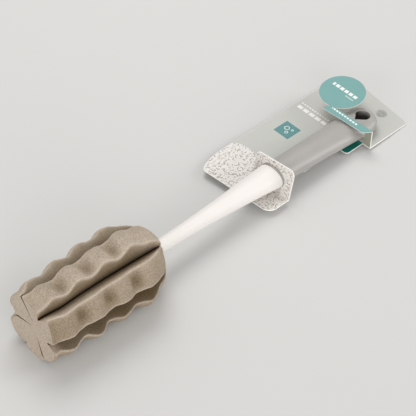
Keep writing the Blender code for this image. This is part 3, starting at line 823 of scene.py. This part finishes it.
# One value for each lobe
FACE_OFF = 0.001 * np.array([0.0, -0.8, -0.6, 1.0, 1.2, 2.4])    # off the round, at the front
CREST_SHIFT = (0.0, 0.0, 0.0022, 0.0026, 0.0004, 0.0)
DOME_POWER = (0.6, 0.42, 0.70, 0.6, 0.5, 0.5)
LIP = (0.0, 0.0, 0.0, 1.0, 0.0, 0.0)             # how far its first edge stands out on the crests
SCALLOP = (0.5, 1.0, 0.1, 0.3, 0.4, 0.4)
DIMPLE = (0.1, 1.0, 1.2, 0.4, 0.2, 0.2)
# Per lobe: painted highlight on the edges, then painted shade in the valleys, on the faces, and more
# on the faces at the front
EDGE_HIGHLIGHT_SHARE = (1.0, 1.0, 1.0, 0.3, 1.0, 1.0)
VALLEY_SHADE = (0.0, 1.0, 1.5, 0.3, 0.0, 0.0)
FACE_SHADE = (0.0, 0.12, 0.44, 0.5, 0.2, 0.2)
FACE_SHADE_FRONT = (0.0, 0.22, 0.35, 0.0, 0.0, 0.0)

# Painted shade on the first and the last wall of each lobe, and how much of it is lost at the front
# and at the back
WALL_PAINTED_SHADES = (((0.6, 0.6, 0.65, 1.0, 0.6, 0.6), (0.6,) * 6, (0.0,) * 6),
              ((0.75, 0.9, 0.6, 0.6, 0.6, 0.6), (0.25, 0.15, 0.6, 0.6, 0.6, 0.6),
               (0.0, 0.35, 0.0, 0.0, 0.0, 0.0)))
SHADE_POWERS = ((60, 60, 90, 20, 60, 60), (16, 8, 16, 16, 16, 16))   # fall of the floor's shade
WALL_SHADE = (0.0, 0.0, 0.0, 0.70, 0.0, 0.0)     # least shade on the first wall

# Points along a section: shut cut, open wall, rounded corner and face. Depth is 1 down to the
# end of the shut cut and 0 at the corner.
SHUT_STEPS, CORNER_STEPS = 4, 6
WALL_SHARE = np.linspace(0.0, 1.0, 11)
FACE_SHARE = np.linspace(0.0, 1.0, 26)
CORNER_SHARE = np.linspace(0.0, 1.0, CORNER_STEPS + 2)[1:-1]
WALL_DEPTH = np.concatenate([np.ones(SHUT_STEPS), 1.0 - WALL_SHARE])
# Painted highlight: pale along each lobe's edges, falling off down the wall and across the face
WALL_HIGHLIGHT = np.exp(-WALL_DEPTH / 0.12)
FACE_HIGHLIGHT = np.exp(-np.minimum(FACE_SHARE, 1.0 - FACE_SHARE) / 0.045)
EDGE_HIGHLIGHT = np.concatenate([WALL_HIGHLIGHT, np.ones(CORNER_STEPS), FACE_HIGHLIGHT, np.ones(CORNER_STEPS),
                      WALL_HIGHLIGHT[:0:-1]])


def bell(x, middle, reach):
    """Bell curve of height 1 round a place."""
    return np.exp(-((x - middle) / reach) ** 2)


def swung(points, swing):
    """Points of a section turned about the head's line by an angle for each station."""
    c, s = np.cos(swing)[:, None], np.sin(swing)[:, None]
    return points * c + np.stack([-points[:, 1], points[:, 0]], -1) * s


def limited(points, least, most):
    """Points of a section drawn in or out until their distance from its middle is in range."""
    reach = np.linalg.norm(points, axis=-1)
    return points * (np.clip(reach, least, most) / np.maximum(reach, 0.0001))[:, None]


def rounded(first, corner, last):
    """Rounded corner between two ends of a section: a parabola that its corner point draws out."""
    t = CORNER_SHARE[:, None]
    return ((1.0 - t) ** 2 * first[:, None] + 2.0 * t * (1.0 - t) * corner[:, None]
            + t * t * last[:, None])


def foam_section(x, inset):
    """Closed section for each station, as offsets from the head's line, with masks of painted
    highlight and painted shade for the material. Each lobe is a wall up from a cut's floor, a
    rounded corner, a face whose radius follows the wave and sinks in the middle of each valley,
    a corner and a wall down."""
    f = foam()
    neck = handle().neck + CLEAR + NECK_FOAM
    share = x / f.length
    back = smooth_step(x / f.opening)
    even = smooth_step(x / (0.7 * f.opening))
    closing = 0.75 * smooth_step((x - f.length + 0.9 * f.dome) / (0.9 * f.dome))
    calm = (smooth_step((x - SETTLE) / SETTLE)
            * smooth_step((f.length - f.dome - x) / SETTLE + 0.5))
    swell = smooth_step(x / SETTLE)
    tail = smooth_step((x - TAIL_START) / TAIL_LENGTH)
    rows, rim, groove_shade, line = [], [], [], []

    def along(pair, number):
        """A cut's value or point at each station, from its front one to its body one."""
        first, last = pair[0][number], pair[1][number]
        mix = even if np.ndim(first) == 0 else back[:, None]
        return first + (last - first) * mix

    def at_cut(number, side):
        """Floor and shut point of a cut for the lobe on one side of it, inside the dome's radius."""
        swing = math.radians(SWINGS[number]) * back * bell(x, *SWING_BELL)
        floor, shut = swung(along(FLOORS, number), swing), swung(along(SHUTS, number), swing)
        least = np.where(x > STEM_START, neck, 0.0)
        most = np.maximum((f.edge_rear - f.corner) * foam_scale(x), neck)
        floor, shut = limited(floor, least, most), limited(shut, 0.0, most)
        way = shut - floor
        way = way / np.maximum(np.linalg.norm(way, axis=-1), 0.000001)[:, None]
        across = np.stack([-way[:, 1], way[:, 0]], -1)
        return floor, shut + across * (side * (f.slit * (2.0 - back) + 0.2 * inset))[:, None]

    def wall(foot, shut, corner):
        """Wall from a floor, up the shut cut and out to the corner, which is left unfinished."""
        length = np.linalg.norm(corner - shut, axis=-1)
        keep = 1.0 - np.minimum(f.corner / np.maximum(length, 0.0001), 0.5)
        rise = np.linspace(0.0, 1.0, SHUT_STEPS + 1)[:-1, None]
        low = foot[:, None] + rise * (shut - foot)[:, None]
        steps = WALL_SHARE * keep[:, None]
        return np.concatenate([low, shut[:, None] + steps[..., None] * (corner - shut)[:, None]], 1)

    for lobe in range(6):
        next_cut = (lobe + 1) % 6
        phase = 2.0 * math.pi * (x - f.first_crest - CREST_SHIFT[lobe]) / f.pitch
        scale = foam_scale(x, DOME_POWER[lobe])
        if lobe == 0:
            scale = scale * (1.0 - 0.05 * tail)
        wave = np.cos(phase) * scale ** 3 * swell
        valley = np.clip(-np.cos(phase), 0.0, 1.0) ** 1.5 * calm
        wobble = sum(high * np.sin(x * pace + lobe * shift) for high, pace, shift in WOBBLES)
        edge = f.edge_front + (f.edge_rear - f.edge_front) * share + f.edge_wave * wave + wobble
        face = f.face_front + (f.face_rear - f.face_front) * share + f.face_wave * wave
        lip = LIP[lobe] * f.edge_wave * (0.4 * wave + 0.6 * (1.0 + wave) * bell(x, *LIP_BELL))
        edge_a = np.maximum((edge * along(EDGE_AFTER, lobe) + lip) * scale, neck)
        edge_b = np.maximum(edge * along(EDGE_BEFORE, next_cut) * scale, neck)
        start = along(AFTER, lobe)
        end = along(BEFORE, next_cut) - SCALLOP[lobe] * f.scallop / f.edge_front * wave * even
        start = start + (CUT_TURNS[lobe] % (2.0 * math.pi) - start) * closing
        end = end + (CUT_TURNS[next_cut] - end) * closing
        lost = 0.6 * np.arcsin(np.clip(inset / edge_a, 0.0, 1.0))
        start, end = start + lost, end - lost
        corner_a, corner_b = polar(start, edge_a - inset), polar(end, edge_b - inset)
        span = (end - start) * edge_a
        cut = np.minimum(f.corner / np.maximum(span, 0.0001), 0.2)
        u = cut[:, None] + (1.0 - 2.0 * cut)[:, None] * FACE_SHARE
        hump = (4.0 * u * (1.0 - u)) ** 1.2
        crown = ((face - edge) * scale * even + FACE_OFF[lobe] * (1.0 - even))[:, None] * hump
        sunk = (DIMPLE[lobe] * f.dimple * valley * scale)[:, None] * np.sin(math.pi * u) ** 1.8
        level = (edge_a - inset)[:, None] + (edge_b - edge_a)[:, None] * u
        over = polar(start[:, None] + (end - start)[:, None] * u,
                     np.maximum(level + crown - sunk, neck))
        up = wall(*at_cut(lobe, 1.0), corner_a)
        down = wall(*at_cut(next_cut, -1.0), corner_b)[:, ::-1]
        rows += [up, rounded(up[:, -1], corner_a, over[:, 0]), over,
                 rounded(over[:, -1], corner_b, down[:, 0]), down[:, :-1]]

        full = np.ones((len(x), 1))
        # Painted highlight along the lobe's edges
        rim.append(EDGE_HIGHLIGHT_SHARE[lobe] * full * EDGE_HIGHLIGHT)
        # Painted shade in the valleys, strongest in the middle of the face
        hollow = np.clip((0.3 - np.cos(phase)) / 1.3, 0.0, 1.0) ** 1.2 * calm
        painted_valley_shade = VALLEY_SHADE[lobe] * f.valley_shade * hollow[:, None] * np.sin(math.pi * u) ** 1.2
        # Painted shade over the whole face of some lobes, more near the front
        low = (FACE_SHADE[lobe] + FACE_SHADE_FRONT[lobe] * np.exp(-x / FRONT_SHADE_FADE))[:, None]
        # Painted shade on the first and the last wall, deepest down the cut and fading over the corner
        tones = []
        for least, front_loss, back_loss in WALL_PAINTED_SHADES:
            base = least[lobe] * (1.0 - front_loss[lobe] * (1.0 - smooth_step(x / WALL_FADE)))
            base = (base * (1.0 - back_loss[lobe] * tail))[:, None]
            tones.append((base + (1.0 - base) * WALL_DEPTH ** 2.5, base * CORNER_SHARE[::-1]))
        (wall_a, fall_a), (wall_b, fall_b) = tones
        groove_shade += [wall_a, fall_a, low + (1.0 - low) * painted_valley_shade, fall_b[:, ::-1], wall_b[:, :0:-1]]
        # Painted shade in a thin line along the floor of each cut
        shade_a, shade_b = (full * WALL_DEPTH ** powers[lobe] for powers in SHADE_POWERS)
        line += [np.maximum(shade_a, WALL_SHADE[lobe] * swell[:, None]),
                 np.zeros((len(x), len(FACE_SHARE) + 2 * CORNER_STEPS)), shade_b[:, :0:-1]]
    return [np.concatenate(part, 1) for part in (rows, rim, groove_shade, line)]


def soft_floor(height, softness=0.00035):
    """Presses heights gently against the floor: nearly unchanged above it, never below it."""
    return np.where(height > 20.0 * softness, height,
                    softness * np.log1p(np.exp(np.minimum(height / softness, 30.0))))


class CUPBRUSH_OT_foam(bpy.types.Operator):
    """Six-lobed foam head, cut along waves and pressed a little flat where it lies"""
    bl_idname = "cup_brush.foam"
    bl_label = "Foam head"

    def execute(self, context):
        f = foam()
        bend = np.linspace(0.0, 0.5 * math.pi, 6)
        start = f.length - f.dome
        front = f.front_corner * (1.0 - np.cos(bend))
        body = np.linspace(f.front_corner, start, 104)[1:]
        dome = start + f.dome * np.sin(0.5 * math.pi * np.linspace(0.0, 1.0, 34)[1:])
        x = np.concatenate([front, body, dome])
        inset = np.concatenate([f.front_corner * (1.0 - np.sin(bend)),
                                np.zeros(len(body) + len(dome))])
        section, rim, groove_shade, shade = foam_section(x, inset)
        line = bow(x) + f.lift * np.sin(math.pi * x / f.length)
        stations = np.broadcast_to(x[:, None], section.shape[:2])
        skin = np.stack([stations, section[..., 0], section[..., 1] + line[:, None]], -1)
        turn = np.arctan2(section[-1, :, 1], section[-1, :, 0])
        bore_x = np.linspace(f.length, STEM_START - CLEAR, 8)
        bore = np.empty((len(bore_x), len(turn), 3))
        bore[..., 0] = bore_x[:, None]
        bore[..., 1:] = polar(turn, handle().neck + CLEAR)
        bore[..., 2] += bow(bore_x)[:, None]
        rings = placed(np.concatenate([skin, bore]), brush_matrix())
        rings[..., 2] = soft_floor(rings[..., 2])
        rows, count = rings.shape[:2]
        points = np.concatenate([rings.reshape(-1, 3), rings[-1].mean(0)[None]])
        faces = grid_faces(rows, count).tolist()
        faces += cap_faces(rows - 1, count, rows * count).tolist()
        faces.append(list(range(count)))
        # The body's material carries the painted shade and highlight, the flat front's does not
        looks = [foam_material("cut_foam", True), foam_material("cut_foam_front", False)]
        piece = make_piece("foam_lobes", points, faces, looks, "brush", sharp=70)
        front_face = piece.data.polygons[len(faces) - 1]
        front_face.use_smooth = False
        front_face.material_index = 1
        in_bore = np.ones(bore[..., 0].size + 1)
        # Masks of the painted highlight on the edges, the painted shade on walls, valleys and faces,
        # and the painted shade at the floors of the cuts; the bore is all painted shade
        for name, values, bore_value in (("rim", rim, 0.0), ("groove_shade", groove_shade, 1.0),
                                         ("cut_floor_shade", shade, 0.0)):
            point_values(piece, name, np.append(values, bore_value * in_bore))
        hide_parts("foam_head")
        return {"FINISHED"}


# Hang card

def arc(x, y, radius, start, end, steps=16):
    """Points of an arc in a flat outline, angles in degrees."""
    turn = np.radians(np.linspace(start, end, steps + 1))
    return np.stack([x + radius * np.cos(turn), y + radius * np.sin(turn)], -1)


def fill_outline(outline, holes=(), rows=()):
    """Triangles of a flat outline with holes; rows are extra cuts across it, for folds."""
    loops = [np.asarray(outline, float)] + [np.asarray(hole, float) for hole in holes]
    points, edges = [], []
    for loop in loops:
        first = len(points)
        points += loop.tolist()
        edges += [(first + i, first + (i + 1) % len(loop)) for i in range(len(loop))]
    for (a, b) in rows:
        edges.append((len(points), len(points) + 1))
        points += [list(a), list(b)]
    found = geometry.delaunay_2d_cdt([Vector(p) for p in points], edges, [], 3, 1e-9)
    return np.array([list(p) for p in found[0]]), [list(face) for face in found[2]]


def board_piece(name, flat, faces, shape, looks, bevel_look=1):
    """Board of even thickness from flat triangles. shape moves flat points and a height over the
    printed face to their place. The plain back and the cut edges get their own materials, and
    bevel_look is the number of the bevel's."""
    count = len(flat)
    level = np.zeros(count)
    sides = {(a, b) for face in faces for a, b in zip(face, face[1:] + face[:1])}
    border = sorted((a, b) for a, b in sides if (b, a) not in sides)
    inward = np.zeros((count, 2))
    for a, b in border:
        way = (flat[b] - flat[a]) / np.linalg.norm(flat[b] - flat[a])
        inward[[a, b]] += (-way[1], way[0])
    inward *= 2.0 * card().edge / np.maximum((inward ** 2).sum(1), 1.0)[:, None]
    rim = [a for a, b in border]
    spot = {a: 2 * count + i for i, a in enumerate(rim)}
    thickness = card().thickness
    points = np.concatenate([shape(flat + inward, level), shape(flat, level - thickness),
                             shape(flat[rim], level[rim] - 0.3 * thickness)])
    every = list(faces)
    every += [[count + i for i in reversed(face)] for face in faces]
    every += [[b, a, spot[a], spot[b]] for a, b in border]
    every += [[spot[b], spot[a], count + a, count + b] for a, b in border]
    slots = [0] * len(faces) + [2] * len(faces) + [bevel_look] * len(border) + [1] * len(border)
    piece = make_piece(name, placed(points, card_matrix()), every, looks, "card")
    piece.data.polygons.foreach_set("material_index", slots)
    layer = piece.data.attributes.new("card_place", "FLOAT_VECTOR", "POINT")
    plan = np.concatenate([flat, flat, flat[rim]])
    layer.data.foreach_set("vector", np.pad(plan, ((0, 0), (0, 1))).astype(np.float32).ravel())
    return piece


def card_outline():
    """Card: rounded front tab, window behind the loop, small wing, ear, straight back edge."""
    c = card()
    tab, tab_radius, tab_back, corner, panel, window = 0.0178, 0.0075, 0.0045, 0.0150, 0.0050, 0.0290
    wing, wing_side, ear_corner, small, taper, drop = 0.0170, 0.0128, 0.0095, 0.0030, 0.0270, 0.0085
    front = c.front + tab_back
    wing_front = c.leg_x - wing
    window_end = c.loop_x + window
    turn = np.linspace(0.0, 0.5 * math.pi, 17)
    far = np.stack([c.front + taper * (1.0 - np.sin(turn)),
                    c.far_side - drop * (1.0 - np.cos(turn))], -1)
    return np.concatenate([
        arc(front + tab_radius, tab_radius - tab, tab_radius, 180, 270),
        [(c.loop_x, -tab), (c.loop_x, c.loop_half_width), (window_end, c.loop_half_width),
         (window_end, -panel), (wing_front, -panel)],
        arc(wing_front + small, small - wing_side, small, 180, 270),
        [(c.leg_x, -wing_side), (c.leg_x, -c.ear_side)],
        arc(c.rear - ear_corner, small - c.ear_side, small, 270, 353, 6),
        arc(c.rear - corner, c.far_side - corner, corner, 0, 90),
        far])


class CUPBRUSH_OT_card(bpy.types.Operator):
    """Flat of the hang card with its print, window and punched hole"""
    bl_idname = "cup_brush.card"
    bl_label = "Card"

    def execute(self, context):
        c = card()
        hole = arc(c.hole_x, 0.0, c.hole_radius, 360, 0, 64)[:-1]
        flat, faces = fill_outline(card_outline(), [hole])
        piece = board_piece("card_sheet", flat, faces, lambda plan, z: np.column_stack([plan, z]),
                            board_looks("printed_card"))
        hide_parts("card_back")
        return {"FINISHED"}


def loop_axis_reach():
    """Distance up the leaning loop at which the handle's centre line meets it."""
    c = card()
    to_card = card_matrix().inverted() @ brush_matrix()
    x = c.loop_x
    for _ in range(6):
        meet = to_card @ Vector((x, 0.0, float(bow(x))))
        x += c.loop_x + meet.z * math.tan(c.loop_lean) - meet.x
    return meet.z / math.cos(c.loop_lean)


# From the leg's fold: middle of the flap's round end, then the two front corners of the strap, of
# which the second is measured from the leg's near side. Turns at which the round end starts and
# ends, in degrees.
FLAP_END = ((0.0148, 0.0232), (-0.0074, 0.0223), (-0.0054, 0.0045))
FLAP_TURNS = (-156.7, 192.8)


class CUPBRUSH_OT_card_folds(bpy.types.Operator):
    """Upright loop round the grip, upright leg, and the flap with its round end"""
    bl_idname = "cup_brush.card_folds"
    bl_label = "Card folds"

    def execute(self, context):
        c = card()
        wide, corner, inner, low_side, gap = c.loop_half_width, 0.0045, CLEAR, 0.0030, 0.0004
        bend = 0.5 * math.pi - c.loop_lean
        roll = bend * inner

        def stand_up(flat, z):
            """Rolls a flat sheet up about a fold: flat, part of a turn, then straight."""
            along = flat[:, 0] - c.loop_x
            turn = np.clip(along / inner, 0.0, bend)
            up = np.maximum(along - roll, 0.0)
            reach = inner - z
            return np.stack([c.loop_x + reach * np.sin(turn) + up * math.cos(bend), flat[:, 1],
                             inner - reach * np.cos(turn) + up * math.sin(bend)], -1)

        foot = c.loop_x
        flat_start = foot + roll - inner * math.tan(0.5 * bend)
        top = flat_start + c.loop_height
        outline = np.concatenate([[(foot, wide), (foot, -wide)],
                                  arc(top - corner, corner - wide, corner, 270, 360, 12),
                                  arc(top - low_side - corner, wide - corner, corner, 0, 90, 12)])
        centre = flat_start + loop_axis_reach()
        hole_half = (handle().collar_thickness + gap) / math.cos(c.loop_lean)
        hole = np.stack([centre + hole_half * np.cos(-RING_TURNS),
                         (handle().collar_width + gap) * np.sin(-RING_TURNS)], -1)
        folds = foot + roll * np.array([0.25, 0.5, 0.75, 1.0])
        flat, faces = fill_outline(outline, [hole], [((x, -wide), (x, wide)) for x in folds])
        loop = board_piece("card_loop_sheet", flat, faces, stand_up, board_looks("bubble_print_board"))
        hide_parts("card_loop")

        near = -c.ear_side
        far = near + c.leg_width
        high = c.flap_height
        flat, faces = fill_outline([(0.0, near), (0.0, far), (high, far), (high, near)])

        def upright(flat, z):
            """Stands a sheet up square to the card, its face towards the front."""
            return np.stack([c.leg_x - z, flat[:, 1], flat[:, 0]], -1)

        # The leg's material is the print painted darker as shade
        leg = board_piece("card_leg_sheet", flat, faces, upright, board_looks("leg_print_painted_shade"))
        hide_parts("card_leg")

        def roof(flat, z):
            """Tilts a sheet up to the back about the fold at the top of the leg."""
            along, through = flat[:, 0] - c.leg_x, z + c.thickness
            back, up = math.cos(c.flap_rise), math.sin(c.flap_rise)
            return np.stack([c.leg_x + along * back - through * up, flat[:, 1],
                             c.flap_height + along * up + through * back], -1)

        (disc_x, disc_y), (strap_x, strap_y), (notch_x, notch) = FLAP_END
        outline = np.concatenate([[(c.leg_x, near), (c.leg_x + c.thickness, near)],
                                  arc(c.leg_x + disc_x, disc_y, c.disc_radius, *FLAP_TURNS, 90),
                                  [(c.leg_x + strap_x, strap_y), (c.leg_x + notch_x, near + notch)]])
        flat, faces = fill_outline(outline)
        flap = board_piece("card_flap_sheet", flat, faces, roof, board_looks("teal_print_board"),
                           bevel_look=0)
        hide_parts("card_flap")
        return {"FINISHED"}


# Stage

ROOM_LIGHT, ROOM_COLOUR = 0.48, (1.0, 0.99, 0.98, 1.0)

# Square soft lights: name, place, aim, size, power and colour
LIGHTS = (("key", (0.30, 0.52, 1.13), (0.0, 0.0, 0.0), 0.75, 7.6, (1.0, 0.99, 0.97)),
          ("near", (-0.80, -1.68, 0.48), (0.0, 0.0, 0.02), 1.3, 14.5, (1.0, 0.99, 0.98)),
          ("low", (1.50, -1.20, 1.00), (0.05, 0.0, 0.0), 0.95, 10.5, (1.0, 0.99, 0.98)),
          ("front", (-1.92, -0.32, 0.62), (-0.1, 0.0, 0.03), 1.1, 12.0, (1.0, 0.97, 0.95)))


def floor_material():
    """Pale matt table with a very faint unevenness."""
    look, tree, shader, place, _ = start_material("pale_floor", 0.1)
    shader["Roughness"].default_value = 0.9
    colour = mottled(tree, place, 0.5, 0.02, bpy.context.scene.cup_brush_stage.floor)
    feed(tree, shader["Base Color"], colour)
    return look


def add_object(name, data, place, direction):
    """Object at a place that looks in a direction."""
    made = bpy.data.objects.new(name, data)
    made.location = place
    made.rotation_mode = "QUATERNION"
    made.rotation_quaternion = direction.to_track_quat("-Z", "Y")
    bpy.context.scene.collection.objects.link(made)
    return made


class CUPBRUSH_OT_stage(bpy.types.Operator):
    """Pale floor, soft studio light and the camera"""
    bl_idname = "cup_brush.stage"
    bl_label = "Stage"

    def execute(self, context):
        s = context.scene.cup_brush_stage
        mesh = bpy.data.meshes.new("floor")
        corners = np.array([(-1.0, -1.0, 0.0), (1.0, -1.0, 0.0), (1.0, 1.0, 0.0), (-1.0, 1.0, 0.0)])
        mesh.from_pydata((FLOOR_REACH * corners).tolist(), [], [(0, 1, 2, 3)])
        mesh.materials.append(floor_material())
        ground = bpy.data.objects.new("floor", mesh)
        context.scene.collection.objects.link(ground)

        world = bpy.data.worlds.new("soft_room")
        world.use_nodes = True
        room = world.node_tree.nodes["Background"].inputs
        room["Strength"].default_value = ROOM_LIGHT * s.fill
        room["Color"].default_value = ROOM_COLOUR
        context.scene.world = world

        for name, place, aim, size, power, colour in LIGHTS:
            lamp = bpy.data.lights.new(name, "AREA")
            lamp.shape = "SQUARE"
            lamp.size = size
            lamp.energy = power * s.key
            lamp.color = colour
            add_object(name, lamp, place, Vector(aim) - Vector(place))

        lens = bpy.data.cameras.new("camera")
        lens.sensor_width = 36.0
        lens.lens = s.lens
        lens.clip_start, lens.clip_end = 0.01, 20.0
        back = Vector((math.sin(s.azimuth) * math.cos(s.elevation),
                       -math.cos(s.azimuth) * math.cos(s.elevation), math.sin(s.elevation)))
        context.scene.camera = add_object("camera", lens, Vector(s.target) + back * s.distance, -back)
        context.scene.view_settings.view_transform = "Standard"
        return {"FINISHED"}


class CUPBRUSH_PT_panel(bpy.types.Panel):
    """Lists the steps and their sizes"""
    bl_idname = "CUPBRUSH_PT_panel"
    bl_label = "Cup brush"
    bl_space_type = "VIEW_3D"
    bl_region_type = "UI"
    bl_category = "Cup brush"

    def draw(self, context):
        for operator, name in STEPS:
            self.layout.operator(operator)
            settings = getattr(context.scene, name)
            box = self.layout.box()
            for field in settings.__annotations__:
                box.prop(settings, field)


STEPS = (("cup_brush.foam", "cup_brush_foam"), ("cup_brush.handle", "cup_brush_handle"),
         ("cup_brush.grip", "cup_brush_handle"), ("cup_brush.card", "cup_brush_card"),
         ("cup_brush.card_folds", "cup_brush_card"), ("cup_brush.stage", "cup_brush_stage"))

SETTINGS = {"cup_brush_foam": FoamSettings, "cup_brush_handle": HandleSettings,
            "cup_brush_card": CardSettings, "cup_brush_stage": StageSettings}

CLASSES = (*SETTINGS.values(), CUPBRUSH_OT_foam, CUPBRUSH_OT_handle, CUPBRUSH_OT_grip,
           CUPBRUSH_OT_card, CUPBRUSH_OT_card_folds, CUPBRUSH_OT_stage, CUPBRUSH_PT_panel)


def register():
    for item in CLASSES:
        bpy.utils.register_class(item)
    for name, item in SETTINGS.items():
        setattr(bpy.types.Scene, name, bpy.props.PointerProperty(type=item))


def unregister():
    for name in SETTINGS:
        delattr(bpy.types.Scene, name)
    for item in reversed(CLASSES):
        bpy.utils.unregister_class(item)


def main():
    register()
    make_grain_group()
    make_mottle_group()
    make_disc_group()
    make_bar_group()
    make_bubble_group()
    bpy.ops.cup_brush.foam()
    bpy.ops.cup_brush.handle()
    bpy.ops.cup_brush.grip()
    bpy.ops.cup_brush.card()
    bpy.ops.cup_brush.card_folds()
    bpy.ops.cup_brush.stage()


if __name__ == "__main__":
    main()
